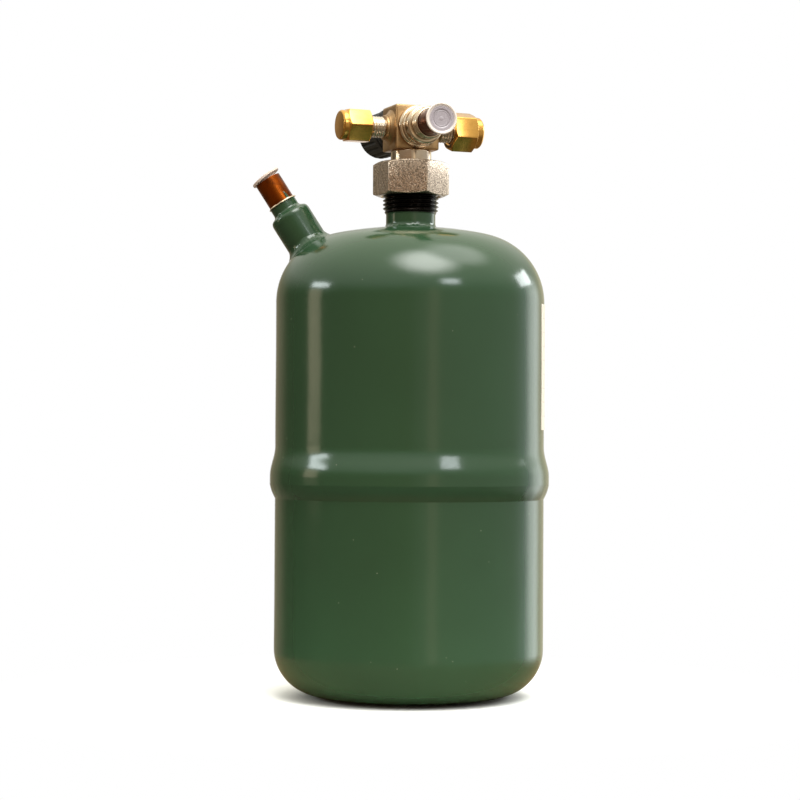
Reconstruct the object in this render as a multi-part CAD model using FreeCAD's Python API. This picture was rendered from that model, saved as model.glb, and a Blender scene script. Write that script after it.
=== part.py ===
import FreeCAD, Part

import math
import os

from FreeCAD import Placement, Rotation, Vector

# Refrigerant liquid receiver: a welded steel pressure vessel of two deep drawn
# shells that stands on its base, a side inlet stub and a shut-off valve held
# on the top neck by a union nut. Millimetres, +Z up, origin at the middle of
# the base. The -Y side is the front.

# Vessel
vessel_diameter = 121.0
shell_wall = 2.3
vessel_height = 211.0
base_flat_radius = 26.0
base_crown_radius = 430.0
base_knuckle_radius = 20.8
top_crown_radius = 175.0
top_knuckle_radius = 31.0
seam_height = 95.5
seam_clearance = 0.05
bell_depth = 8.0
bell_taper_height = 12.5
lower_rim_inset = 0.6
seam_weld_height = 6.5
seam_weld_bulge = 0.3
seam_weld_bulge_share = 0.46
label_gap_above_bell = 4.0
label_gap_below_knuckle = 0.95
label_start_angle = -15.5
label_sweep_angle = 55.5
label_thickness = 0.2
label_glue_gap = 0.05
weld_fit_gap = 0.01
cut_overrun = 2.0

# Neck on the top of the vessel
neck_diameter = 22.3
neck_weld_leg = 1.6
neck_weld_toe_drop = 0.4
neck_weld_bow = 0.5
neck_weld_bow_rise = 0.35
neck_clearance = 0.05
neck_groove_length = 6.3
neck_thread_diameter = 25.2
neck_thread_pitch = 1.814
neck_thread_depth = 1.1
neck_thread_length = 15.3
neck_root_length = 5.0
neck_bore_radius = 7.5
dip_tube_diameter = 12.0
dip_tube_wall = 1.0
dip_tube_base_gap = 8.0
dip_tube_collar_length = 6.0
braze_clearance = 0.05
tube_sized_end_reduction = 0.3
tube_sized_end_reach = 0.1
ridge_crest_start = 0.42
ridge_crest_end = 0.58

# Union joint between the neck and the valve
seal_thickness = 1.5
seal_width = 2.6
nut_across_flats = 30.0
nut_height = 15.3
nut_below_neck_top = 7.5
nut_chamfer_angle = 20.0
nut_lead_in = 0.8
hexagon_face_inset = 0.4
hexagon_corner_allowance = 0.2
nut_turn_angle = -4.8
nut_thread_clearance = 0.3
nut_gap_to_block = 5.3
tailpiece_radius = 9.15
tailpiece_collar_width = 1.6
tailpiece_collar_height = 2.6
tailpiece_spigot_radius = 7.4
tailpiece_spigot_length = 4.0
tailpiece_bore_radius = 4.0
thrust_washer_thickness = 0.9
thrust_washer_inset = 0.6
sliding_clearance = 0.25
face_gap = 0.1

# Shut-off valve, turned about the vessel axis
valve_turn_angle = 22.0
block_width = 20.8
block_height = 19.9
block_front = 8.0
block_back = 9.0
block_edge_chamfer = 0.8
outlet_boss_radius = 9.6
outlet_boss_length = 2.6
outlet_neck_radius = 8.6
outlet_neck_length = 6.8
outlet_nose_radius = 7.1
outlet_nose_length = 5.6
outlet_edge_chamfer = 0.7
outlet_bore_radius = 4.6
outlet_bore_gap_to_seat = 1.5
outlet_tube_diameter = 12.0
outlet_tube_wall = 1.0
outlet_tube_length = 11.1
outlet_socket_depth = 7.0
plug_flange_radius = 6.95
plug_flange_thickness = 0.8
plug_rim_height = 0.4
plug_rim_width = 1.0
plug_rim_slope = 0.3
plug_stem_length = 6.5
plug_stem_taper = 0.6
plug_wall = 0.9
plug_clearance = 0.35
plug_tilt_angle = 6.5

# Stem side of the valve, opposite the outlet
stem_rise = 1.8
stem_boss_radius = 9.3
stem_boss_length = 8.0
stem_nose_radius = 8.2
stem_nose_length = 9.0
stem_nose_core_radius = 2.0
chamber_radius = 7.0
chamber_back = 6.0
seat_front = 4.2
seat_bore_radius = 4.0
seat_bore_overrun = 3.0
stem_thread_radius = 5.0
stem_thread_length = 10.5
stem_thread_runout = 0.6
stem_spigot_radius = 2.5
stem_spigot_inset = 0.9
stem_shaft_radius = 4.0
stem_square_width = 4.6
stem_square_length = 6.0
stem_end_past_nose = 4.5
stem_disc_radius = 5.8
stem_disc_thickness = 5.4
stem_disc_chamfer = 0.8
stem_back_gap = 0.3
gland_bore_radius = 5.6
gland_washer_thickness = 1.0
packing_length = 3.4
gland_nut_length = 4.0
gland_slot_width = 1.4
gland_slot_depth = 1.2
running_clearance = 0.06
stem_cap_radius = 10.5
stem_cap_rim_radius = 11.0
stem_cap_rim_length = 3.2
stem_cap_rim_chamfer = 0.4
stem_cap_rim_slope = 0.7
stem_cap_length = 21.6
stem_cap_end_round = 3.0
stem_cap_end_wall = 3.0
stem_cap_thread_length = 9.6
stem_cap_inner_radius = 6.4
stem_cap_flutes = 20
stem_cap_flute_radius = 0.8
stem_cap_flute_offset = 0.35
gasket_thickness = 0.8
gasket_width = 2.0
cap_thread_clearance = 0.3
stem_cap_thread_pitch = 1.25

# Service ports, one each side of the valve
port_collar_radius = 8.6
port_collar_shoulder_radius = 5.4
port_collar_length = 3.3
port_collar_flare = 0.5
port_collar_flare_share = 0.45
port_spigot_radius = 4.0
port_spigot_length = 4.0
port_bore_radius = 1.5
port_ridge_depth = 0.35
port_ridge_pitch = 1.27
left_port_radius = 4.75
left_port_end = 28.4
left_cap_across_flats = 14.0
left_cap_start = 20.8
left_cap_hex_length = 11.2
left_cap_length = 13.8
left_cap_end_radius = 6.7
left_cap_turn_angle = -11.2
right_port_radius = 5.3
right_port_end = 27.0
right_cap_across_flats = 16.0
right_cap_start = 18.6
right_cap_hex_length = 11.5
right_cap_length = 14.7
right_cap_end_radius = 7.1
right_cap_turn_angle = 13.8
cap_seal_thickness = 0.8
cap_chamfer_angle = 30.0
cap_knob_root = 1.0
cap_knob_chamfer = 1.2

# Inlet stub on the top knuckle, at the -X side
inlet_lean_angle = 32.5
inlet_boss_radius = 9.35
inlet_boss_top = 45.8
inlet_boss_inner_end = 23.6
inlet_shoulder_top = 48.5
inlet_shoulder_step = 0.4
inlet_nose_radius = 6.25
inlet_nose_slope = 0.5
inlet_nose_top = 53.0
inlet_shoulder_round = 2.4
inlet_weld_leg = 3.4
inlet_weld_toe_depth = 3.0
inlet_weld_form_depth = 10.0
inlet_weld_bow = 0.3
inlet_weld_bow_rise = 0.25
inlet_tube_diameter = 12.0
inlet_tube_wall = 1.0
inlet_tube_end = 65.6
inlet_socket_depth = 9.0
inlet_bore_radius = 4.6
inlet_braze_height = 0.7
inlet_braze_width = 0.7
inlet_braze_toe_share = 0.9
inlet_braze_bow_share = 0.7

# Places worked out from the driving dimensions
vessel_radius = vessel_diameter / 2.0
bell_inner_radius = vessel_radius + seam_clearance
bell_bow_share = (1 - math.sqrt(0.5)) / 2.0
neck_radius = neck_diameter / 2.0
neck_thread_radius = neck_thread_diameter / 2.0
neck_thread_base = vessel_height + neck_groove_length
neck_top = neck_thread_base + neck_thread_length
dip_tube_radius = dip_tube_diameter / 2.0
seal_base = neck_top
tailpiece_base = seal_base + seal_thickness
collar_radius = tailpiece_radius + tailpiece_collar_width
collar_top = tailpiece_base + tailpiece_collar_height
washer_base = collar_top + face_gap
washer_top = washer_base + thrust_washer_thickness
nut_shoulder = washer_top + face_gap
nut_base = neck_top - nut_below_neck_top
nut_top = nut_base + nut_height
block_base = nut_top + nut_gap_to_block
block_middle = block_base + block_height / 2.0
valve_angle = math.radians(valve_turn_angle)
outlet_way = Vector(math.sin(valve_angle), -math.cos(valve_angle), 0)
stem_way = outlet_way * -1.0
right_way = Vector(math.cos(valve_angle), math.sin(valve_angle), 0)
left_way = right_way * -1.0
valve_middle = Vector(0, 0, block_middle)
stem_middle = Vector(0, 0, block_middle + stem_rise)
stem_nose_end = block_back + stem_boss_length + stem_nose_length
stem_shoulder = block_back + stem_boss_length
outlet_end = block_front + outlet_boss_length + outlet_neck_length + outlet_nose_length
outlet_tube_radius = outlet_tube_diameter / 2.0
outlet_sized_radius = outlet_tube_radius - tube_sized_end_reduction
outlet_sized_end = outlet_end + tube_sized_end_reach
outlet_socket_base = outlet_end - outlet_socket_depth
outlet_tube_end = outlet_end + outlet_tube_length
knuckle_middle_radius = vessel_radius - top_knuckle_radius
crown_to_knuckle = top_crown_radius - top_knuckle_radius
knuckle_drop = math.sqrt(crown_to_knuckle ** 2 - knuckle_middle_radius ** 2)
knuckle_middle_height = vessel_height - top_crown_radius + knuckle_drop
label_base_height = seam_height + bell_depth + bell_taper_height + label_gap_above_bell
label_top_height = knuckle_middle_height - label_gap_below_knuckle
inlet_lean = math.radians(inlet_lean_angle)
inlet_way = Vector(-math.sin(inlet_lean), 0, math.cos(inlet_lean))
inlet_middle = Vector(-knuckle_middle_radius, 0, knuckle_middle_height)
inlet_tube_radius = inlet_tube_diameter / 2.0
inlet_sized_radius = inlet_tube_radius - tube_sized_end_reduction
inlet_sized_end = inlet_nose_top + inlet_braze_height + tube_sized_end_reach
inlet_socket_base = inlet_nose_top - inlet_socket_depth


# Shared shape helpers

def turned(path):
    """Solid of revolution about Z from a closed outline of (radius, height).

    A step of the outline is a point for a straight line, or a pair of points,
    one on the arc and its end, for an arc.
    """
    edges = []
    start = path[0]
    for step in path[1:] + [path[0]]:
        first = Vector(start[0], 0, start[1])
        if isinstance(step[0], tuple):
            on_arc = Vector(step[0][0], 0, step[0][1])
            end = step[1]
            edges.append(Part.Arc(first, on_arc, Vector(end[0], 0, end[1])).toShape())
        else:
            end = step
            if math.dist(start, end) > 1e-9:
                edges.append(Part.LineSegment(first, Vector(end[0], 0, end[1])).toShape())
        start = end
    face = Part.Face(Part.Wire(edges))
    solid = face.revolve(Vector(0, 0, 0), Vector(0, 0, 1), 360)
    return upright(solid)


def upright(solid):
    """The solid with its volume positive."""
    if solid.Volume < 0:
        solid.reverse()
    return solid


def aimed(shape, way, middle, turn_angle=0.0):
    """Carries a shape made along +Z to an axis through middle, after a turn about it."""
    turn = Rotation(Vector(0, 0, 1), turn_angle)
    aim = Rotation(Vector(0, 0, 1), way)
    moved = shape.copy()
    moved.Placement = Placement(middle, aim.multiply(turn))
    return moved


def tube(outer_radius, inner_radius, low, high):
    """A straight round tube along Z."""
    return turned([(inner_radius, low), (outer_radius, low), (outer_radius, high), (inner_radius, high)])


def rod(radius, low, high):
    """A straight round rod along Z."""
    return Part.makeCylinder(radius, high - low, Vector(0, 0, low))


def hexagon(across_flats, low, high):
    """A six-sided prism along Z with one corner on +X."""
    corner_radius = across_flats / math.sqrt(3)
    corners = []
    for step in range(6):
        angle = math.radians(60 * step)
        corners.append(Vector(corner_radius * math.cos(angle), corner_radius * math.sin(angle), low))
    face = Part.Face(Part.makePolygon(corners + [corners[0]]))
    return face.extrude(Vector(0, 0, high - low))


def chamfer_form(across_flats, low, high, angle):
    """The turned form that takes the corners off both ends of a hexagon."""
    corner_radius = across_flats / math.sqrt(3) + hexagon_corner_allowance
    face_radius = across_flats / 2.0 - hexagon_face_inset
    drop = (corner_radius - face_radius) * math.tan(math.radians(angle))
    return turned([(0, low), (face_radius, low), (corner_radius, low + drop),
                   (corner_radius, high - drop), (face_radius, high), (0, high)])


def ridges(radius, depth, pitch, low, high, bore_radius):
    """A round part along Z whose outside is a row of ridges at a thread's pitch."""
    count = int(round((high - low) / pitch))
    step = (high - low) / count
    path = [(bore_radius, low), (radius - depth, low)]
    for index in range(count):
        start = low + index * step
        path.append((radius, start + ridge_crest_start * step))
        path.append((radius, start + ridge_crest_end * step))
        path.append((radius - depth, start + step))
    path.append((bore_radius, high))
    return turned(path)


def head_steps(radius, crown, knuckle, flat, apex, up):
    """Outline steps of a dished end from the axis, or a flat, to the straight wall."""
    sign = -1.0 if up else 1.0
    crown_middle = math.sqrt(crown ** 2 - flat ** 2)
    reach = radius - knuckle
    knuckle_height = crown_middle - math.sqrt((crown - knuckle) ** 2 - reach ** 2)
    join = math.asin(reach / (crown - knuckle))
    first = math.asin(flat / crown)
    half = (first + join) / 2.0
    crown_mid = (crown * math.sin(half), apex + sign * (crown_middle - crown * math.cos(half)))
    crown_end = (crown * math.sin(join), apex + sign * (crown_middle - crown * math.cos(join)))
    turn = (join + math.pi / 2) / 2.0
    knuckle_mid = (reach + knuckle * math.sin(turn),
                   apex + sign * (knuckle_height - knuckle * math.cos(turn)))
    knuckle_end = (radius, apex + sign * knuckle_height)
    return (flat, apex), (crown_mid, crown_end), (knuckle_mid, knuckle_end)


def reversed_steps(start, steps):
    """The same outline steps taken from the straight wall back to the axis."""
    points = [start]
    for step in steps:
        points.append(step[1])
    back = []
    for step, end in zip(reversed(steps), reversed(points[:-1])):
        back.append((step[0], end))
    return points[-1], back


# Vessel

def make_lower_shell():
    rim = seam_height + bell_depth - lower_rim_inset
    start, crown, knuckle = head_steps(vessel_radius, base_crown_radius, base_knuckle_radius,
                                       base_flat_radius, 0.0, False)
    inner_start, inner_crown, inner_knuckle = head_steps(
        vessel_radius - shell_wall, base_crown_radius - shell_wall, base_knuckle_radius - shell_wall,
        base_flat_radius, shell_wall, False)
    inner_end, inner_back = reversed_steps(inner_start, [inner_crown, inner_knuckle])
    path = [(0, 0), start, crown, knuckle, (vessel_radius, rim), (vessel_radius - shell_wall, rim),
            inner_end] + inner_back + [(0, shell_wall)]
    return turned(path)


def bell_profile(radius, low, taper_low, bell):
    """Outline steps up the belled mouth of the upper shell, from the mouth to the straight wall."""
    middle_radius = (radius + bell) / 2.0
    taper_middle = taper_low + bell_taper_height / 2.0
    quarter = bell_taper_height / 4.0
    bow = (bell - radius) * bell_bow_share
    return [(bell, low), (bell, taper_low),
            ((bell - bow, taper_low + quarter), (middle_radius, taper_middle)),
            ((radius + bow, taper_middle + quarter), (radius, taper_low + bell_taper_height))]


def make_upper_shell():
    bell_outer = bell_inner_radius + shell_wall
    taper_low = seam_height + bell_depth
    outside = bell_profile(vessel_radius, seam_height, taper_low - shell_wall, bell_outer)
    inside = bell_profile(vessel_radius - shell_wall, seam_height, taper_low, bell_inner_radius)
    start, crown, knuckle = head_steps(vessel_radius, top_crown_radius, top_knuckle_radius,
                                       0.0, vessel_height, True)
    outer_end, outer_back = reversed_steps(start, [crown, knuckle])
    inner_start, inner_crown, inner_knuckle = head_steps(
        vessel_radius - shell_wall, top_crown_radius - shell_wall, top_knuckle_radius - shell_wall,
        0.0, vessel_height - shell_wall, True)
    solid = turned(outside + [outer_end] + outer_back + [inner_start, inner_crown, inner_knuckle]
                   + [inside[-1][1], (inside[-1][0], inside[-2][1]), (inside[-2][0], inside[1]), inside[0]])
    neck_hole = rod(neck_radius + neck_clearance, vessel_height - neck_root_length - cut_overrun,
                    vessel_height + cut_overrun)
    inlet_hole = aimed(rod(inlet_boss_radius + neck_clearance, inlet_boss_inner_end - cut_overrun,
                           inlet_boss_top), inlet_way, inlet_middle)
    return solid.cut(neck_hole).cut(inlet_hole)


def vessel_form():
    """The filled outer form of the upper half, which welds and stubs sit on."""
    start, crown, knuckle = head_steps(vessel_radius, top_crown_radius, top_knuckle_radius,
                                       0.0, vessel_height, True)
    return turned([start, crown, knuckle, (vessel_radius, seam_height), (0, seam_height)])


def make_shell_weld():
    inner = vessel_radius + weld_fit_gap
    outer = bell_inner_radius + shell_wall
    low = seam_height - seam_weld_height
    bulge = ((inner + outer) / 2.0 + seam_weld_bulge, seam_height - seam_weld_height * seam_weld_bulge_share)
    return turned([(inner, low), (bulge, (outer, seam_height)), (inner, seam_height)])


def make_label():
    inner = vessel_radius + label_glue_gap
    outer = inner + label_thickness
    low_corner = Vector(inner, 0, label_base_height)
    face = Part.Face(Part.makePolygon([
        low_corner, Vector(outer, 0, label_base_height), Vector(outer, 0, label_top_height),
        Vector(inner, 0, label_top_height), low_corner]))
    patch = upright(face.revolve(Vector(0, 0, 0), Vector(0, 0, 1), label_sweep_angle))
    patch.rotate(Vector(0, 0, 0), Vector(0, 0, 1), label_start_angle)
    return patch


# Neck and dip tube

def make_neck():
    root = vessel_height - neck_root_length
    body = turned([(neck_bore_radius, root), (neck_radius, root), (neck_radius, neck_thread_base),
                   (neck_bore_radius, neck_thread_base)])
    thread = ridges(neck_thread_radius, neck_thread_depth, neck_thread_pitch,
                    neck_thread_base, neck_top, neck_bore_radius)
    return body.fuse(thread).removeSplitter()


def make_neck_weld():
    low = vessel_height - cut_overrun
    outer = neck_radius + neck_weld_leg
    inner = neck_radius + weld_fit_gap
    bow = (inner + neck_weld_bow * neck_weld_leg, vessel_height + neck_weld_bow_rise * neck_weld_leg)
    bead = turned([(inner, low), (outer, low), (outer, vessel_height - neck_weld_toe_drop),
                   (bow, (inner, vessel_height + neck_weld_leg))])
    return bead.cut(vessel_form())


def make_dip_tube():
    top = vessel_height - neck_root_length + dip_tube_collar_length
    pipe = tube(dip_tube_radius, dip_tube_radius - dip_tube_wall, shell_wall + dip_tube_base_gap, top)
    collar = tube(neck_bore_radius - braze_clearance, dip_tube_radius - dip_tube_wall / 2.0,
                  vessel_height - neck_root_length, top)
    return pipe.fuse(collar).removeSplitter()


# Union joint

def make_union_seal():
    inner = neck_thread_radius - neck_thread_depth - seal_width
    return tube(neck_thread_radius - neck_thread_depth, inner, seal_base, seal_base + seal_thickness)


def make_tailpiece():
    top = block_base + tailpiece_spigot_length
    return turned([(tailpiece_bore_radius, tailpiece_base), (collar_radius, tailpiece_base),
                   (collar_radius, collar_top), (tailpiece_radius, collar_top),
                   (tailpiece_radius, block_base), (tailpiece_spigot_radius, block_base),
                   (tailpiece_spigot_radius, top), (tailpiece_bore_radius, top)])


def make_thrust_washer():
    return tube(neck_thread_radius - thrust_washer_inset, tailpiece_radius + sliding_clearance,
                washer_base, washer_top)


def make_union_nut():
    blank = hexagon(nut_across_flats, nut_base, nut_top)
    blank = blank.common(chamfer_form(nut_across_flats, nut_base, nut_top, nut_chamfer_angle))
    thread_radius = neck_thread_radius + nut_thread_clearance
    blank = blank.cut(rod(thread_radius, nut_base - cut_overrun, nut_shoulder))
    blank = blank.cut(rod(tailpiece_radius + sliding_clearance, nut_base - cut_overrun,
                          nut_top + cut_overrun))
    blank = blank.cut(Part.makeCone(thread_radius + nut_lead_in, thread_radius, nut_lead_in,
                                    Vector(0, 0, nut_base)))
    blank.rotate(Vector(0, 0, 0), Vector(0, 0, 1), nut_turn_angle)
    return blank


# Valve body and what is fixed in it

def make_valve_block():
    depth = block_front + block_back
    bar = Part.makeBox(depth, block_width, block_height,
                       Vector(-block_back, -block_width / 2.0, -block_height / 2.0))
    bar = bar.makeChamfer(block_edge_chamfer, bar.Edges)
    bar.Placement = Placement(valve_middle, Rotation(Vector(1, 0, 0), outlet_way))
    neck_start = block_front + outlet_boss_length
    nose_start = neck_start + outlet_neck_length
    front = turned([(0, block_front - cut_overrun), (outlet_boss_radius, block_front - cut_overrun),
                    (outlet_boss_radius, neck_start - outlet_edge_chamfer),
                    (outlet_boss_radius - outlet_edge_chamfer, neck_start), (outlet_neck_radius, neck_start),
                    (outlet_neck_radius, nose_start - outlet_edge_chamfer),
                    (outlet_neck_radius - outlet_edge_chamfer, nose_start), (outlet_nose_radius, nose_start),
                    (outlet_nose_radius, outlet_end), (0, outlet_end)])
    back = turned([(0, block_back - cut_overrun), (stem_boss_radius, block_back - cut_overrun),
                   (stem_boss_radius, stem_shoulder), (0, stem_shoulder)])
    nose = ridges(stem_nose_radius, port_ridge_depth, stem_cap_thread_pitch,
                  stem_shoulder, stem_nose_end, stem_nose_core_radius)
    body = bar.fuse([aimed(front, outlet_way, valve_middle), aimed(back, stem_way, stem_middle),
                     aimed(nose, stem_way, stem_middle)])
    port_socket = rod(port_spigot_radius + braze_clearance, block_width / 2.0 - port_spigot_length,
                      block_width / 2.0 + cut_overrun)
    ways = [
        aimed(rod(outlet_bore_radius, seat_front + outlet_bore_gap_to_seat, outlet_end),
              outlet_way, valve_middle),
        aimed(rod(outlet_sized_radius + braze_clearance, outlet_socket_base, outlet_end + cut_overrun),
              outlet_way, valve_middle),
        aimed(rod(seat_bore_radius, 0, seat_front + seat_bore_overrun), outlet_way, stem_middle),
        aimed(rod(chamber_radius, -seat_front, chamber_back), stem_way, stem_middle),
        aimed(rod(stem_thread_radius + running_clearance, 0, stem_shoulder + cut_overrun),
              stem_way, stem_middle),
        aimed(rod(gland_bore_radius, stem_shoulder, stem_nose_end + cut_overrun), stem_way, stem_middle),
        rod(tailpiece_spigot_radius + braze_clearance, block_base - cut_overrun,
            block_base + tailpiece_spigot_length),
        rod(tailpiece_bore_radius, block_base, block_middle),
        aimed(port_socket, left_way, valve_middle),
        aimed(port_socket, right_way, valve_middle),
        aimed(rod(port_bore_radius, -block_width / 2.0, block_width / 2.0), right_way, valve_middle),
    ]
    return body.cut(ways)


def sized_tube(radius, wall, sized_radius, low, sized_end, high):
    """A tube along Z whose outside is drawn down a little up to sized_end, to enter its socket."""
    return turned([(radius - wall, low), (sized_radius, low), (sized_radius, sized_end),
                   (radius, sized_end), (radius, high), (radius - wall, high)])


def make_outlet_tube():
    pipe = sized_tube(outlet_tube_radius, outlet_tube_wall, outlet_sized_radius, outlet_socket_base,
                      outlet_sized_end, outlet_tube_end)
    return aimed(pipe, outlet_way, valve_middle)


def plug_form(tube_inner_radius):
    """A hollow push-in plug along Z whose flange rests on a tube end at height 0."""
    stem_radius = tube_inner_radius - plug_clearance
    tip_radius = stem_radius - plug_stem_taper
    low = face_gap
    high = low + plug_flange_thickness
    rim = high + plug_rim_height
    inner = stem_radius - plug_wall
    tip_inner = tip_radius - plug_wall
    tip = -plug_stem_length
    return turned([(0, tip), (tip_radius, tip), (stem_radius, low), (plug_flange_radius, low),
                   (plug_flange_radius, rim), (plug_flange_radius - plug_rim_width, rim),
                   (plug_flange_radius - plug_rim_width - plug_rim_slope, high), (inner, high),
                   (tip_inner, tip + plug_wall), (0, tip + plug_wall)])


def cocked_plug(way, mouth, lifted_side, tube_inner_radius):
    """A plug pushed into a tube's mouth and cocked, lifted on one side of its flange."""
    plug = aimed(plug_form(tube_inner_radius), way, mouth)
    plug.rotate(mouth - lifted_side * plug_flange_radius, way.cross(lifted_side), -plug_tilt_angle)
    return plug


def make_outlet_plug():
    mouth = valve_middle + outlet_way * outlet_tube_end
    return cocked_plug(outlet_way, mouth, right_way, outlet_tube_radius - outlet_tube_wall)


# Stem, packing and stem cap

def make_stem_disc_and_stem():
    back = chamber_back - stem_back_gap
    front = back - stem_disc_thickness
    thread_end = back + stem_thread_length
    end = stem_nose_end + stem_end_past_nose
    square_start = end - stem_square_length
    spigot_end = front + stem_spigot_inset
    disc_bore = stem_spigot_radius + sliding_clearance
    disc = turned([(disc_bore, spigot_end), (stem_disc_radius - stem_disc_chamfer, front),
                   (stem_disc_radius, front + stem_disc_chamfer), (stem_disc_radius, back),
                   (disc_bore, back)])
    stem = turned([(0, spigot_end), (stem_spigot_radius, spigot_end), (stem_spigot_radius, back + face_gap),
                   (stem_thread_radius, back + face_gap), (stem_thread_radius, thread_end),
                   (stem_shaft_radius, thread_end + stem_thread_runout), (stem_shaft_radius, end), (0, end)])
    half = stem_square_width / 2.0
    square = Part.makeBox(stem_square_width, stem_square_width, stem_square_length + cut_overrun,
                          Vector(-half, -half, square_start))
    tool = rod(stem_shaft_radius + cut_overrun, square_start, end + cut_overrun).cut(square)
    stem = stem.cut(tool)
    return aimed(disc, stem_way, stem_middle), aimed(stem, stem_way, stem_middle)


def make_gland_washer():
    low = stem_shoulder + face_gap
    ring = tube(gland_bore_radius - braze_clearance, stem_shaft_radius + running_clearance,
                low, low + gland_washer_thickness)
    return aimed(ring, stem_way, stem_middle)


def make_packing():
    low = stem_shoulder + face_gap + gland_washer_thickness
    ring = tube(gland_bore_radius - braze_clearance, stem_shaft_radius + running_clearance,
                low, low + packing_length)
    return aimed(ring, stem_way, stem_middle)


def make_gland_nut():
    low = stem_shoulder + face_gap + gland_washer_thickness + packing_length
    high = low + gland_nut_length
    ring = tube(gland_bore_radius - braze_clearance, stem_shaft_radius + running_clearance, low, high)
    slot = Part.makeBox(4 * gland_bore_radius, gland_slot_width, 2 * gland_slot_depth,
                        Vector(-2 * gland_bore_radius, -gland_slot_width / 2.0, high - gland_slot_depth))
    return aimed(ring.cut(slot), stem_way, stem_middle)


def make_stem_cap_gasket():
    inner = stem_nose_radius + sliding_clearance
    low = stem_shoulder + face_gap
    ring = tube(inner + gasket_width, inner, low, low + gasket_thickness)
    return aimed(ring, stem_way, stem_middle)


def make_stem_cap():
    low = stem_shoulder + 2 * face_gap + gasket_thickness
    high = low + stem_cap_length
    inner = stem_nose_radius + cap_thread_clearance
    rim = low + stem_cap_rim_length
    arc = stem_cap_end_round
    corner = arc * (1 - math.sqrt(0.5))
    flute_start = rim + stem_cap_rim_slope
    body = turned([(inner, low), (stem_cap_rim_radius - stem_cap_rim_chamfer, low),
                   (stem_cap_rim_radius, low + stem_cap_rim_chamfer),
                   (stem_cap_rim_radius, rim), (stem_cap_radius, flute_start), (stem_cap_radius, high - arc),
                   ((stem_cap_radius - corner, high - corner), (stem_cap_radius - arc, high)), (0, high),
                   (0, high - stem_cap_end_wall), (stem_cap_inner_radius, high - stem_cap_end_wall),
                   (stem_cap_inner_radius, low + stem_cap_thread_length),
                   (inner, low + stem_cap_thread_length)])
    flute_reach = stem_cap_radius + stem_cap_flute_offset
    flutes = []
    for index in range(stem_cap_flutes):
        angle = 2 * math.pi * index / stem_cap_flutes
        place = Vector(flute_reach * math.cos(angle), flute_reach * math.sin(angle), flute_start)
        flutes.append(Part.makeCylinder(stem_cap_flute_radius, stem_cap_length, place))
    return aimed(body.cut(flutes), stem_way, stem_middle)


# Service ports, their caps and seals

def make_port(way, radius, end):
    face = block_width / 2.0
    shoulder = face + port_collar_length
    root = face - port_spigot_length
    base = turned([(port_bore_radius, root), (port_spigot_radius, root), (port_spigot_radius, face),
                   (port_collar_radius, face),
                   ((port_collar_shoulder_radius + port_collar_flare,
                     face + port_collar_length * port_collar_flare_share),
                    (port_collar_shoulder_radius, shoulder)),
                   (port_bore_radius, shoulder)])
    thread = ridges(radius, port_ridge_depth, port_ridge_pitch, shoulder, end, port_bore_radius)
    return aimed(base.fuse(thread).removeSplitter(), way, valve_middle)


def make_cap_seal(way, radius, end):
    seal_radius = radius - port_ridge_depth
    return aimed(rod(seal_radius, end + face_gap, end + face_gap + cap_seal_thickness), way, valve_middle)


def make_port_cap(way, radius, end, across_flats, start, hex_length, length, end_radius, turn_angle):
    hex_end = start + hex_length
    cap_end = start + length
    body = hexagon(across_flats, start, hex_end).common(
        chamfer_form(across_flats, start, hex_end, cap_chamfer_angle))
    knob = turned([(0, start + cap_knob_root), (end_radius, start + cap_knob_root),
                   (end_radius, cap_end - cap_knob_chamfer), (end_radius - cap_knob_chamfer, cap_end),
                   (0, cap_end)])
    bore = rod(radius + cap_thread_clearance, start - cut_overrun, end + cap_seal_thickness + 2 * face_gap)
    return aimed(body.fuse(knob).removeSplitter().cut(bore), way, valve_middle, turn_angle)


# Inlet stub

def make_inlet_boss():
    arc = inlet_shoulder_round
    corner = arc * (1 - math.sqrt(0.5))
    socket_radius = inlet_sized_radius + braze_clearance
    solid = turned([(inlet_bore_radius, inlet_boss_inner_end), (inlet_boss_radius, inlet_boss_inner_end),
                    (inlet_boss_radius, inlet_boss_top),
                    ((inlet_boss_radius - corner, inlet_boss_top + arc - corner),
                     (inlet_boss_radius - arc, inlet_boss_top + arc)),
                    (inlet_nose_radius + inlet_shoulder_step, inlet_shoulder_top),
                    (inlet_nose_radius, inlet_shoulder_top + inlet_nose_slope),
                    (inlet_nose_radius, inlet_nose_top), (socket_radius, inlet_nose_top),
                    (socket_radius, inlet_socket_base), (inlet_bore_radius, inlet_socket_base)])
    return aimed(solid, inlet_way, inlet_middle)


def make_inlet_weld():
    inner = inlet_boss_radius + weld_fit_gap
    outer = inlet_boss_radius + inlet_weld_leg
    low = top_knuckle_radius - inlet_weld_form_depth
    bow = (inner + inlet_weld_bow * inlet_weld_leg, top_knuckle_radius + inlet_weld_bow_rise * inlet_weld_leg)
    bead = turned([(inner, low), (outer, low), (outer, top_knuckle_radius - inlet_weld_toe_depth),
                   (bow, (inner, top_knuckle_radius + inlet_weld_leg))])
    return aimed(bead, inlet_way, inlet_middle).cut(vessel_form())


def make_inlet_tube():
    pipe = sized_tube(inlet_tube_radius, inlet_tube_wall, inlet_sized_radius, inlet_socket_base,
                      inlet_sized_end, inlet_tube_end)
    return aimed(pipe, inlet_way, inlet_middle)


def make_inlet_braze():
    radius = inlet_sized_radius + weld_fit_gap
    bow = (radius + inlet_braze_width * inlet_braze_bow_share,
           inlet_nose_top + inlet_braze_height * inlet_braze_bow_share)
    toe = (radius + inlet_braze_width * inlet_braze_toe_share, inlet_nose_top)
    ring = turned([(radius, inlet_nose_top), toe, (bow, (radius, inlet_nose_top + inlet_braze_height))])
    return aimed(ring, inlet_way, inlet_middle)


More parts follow.
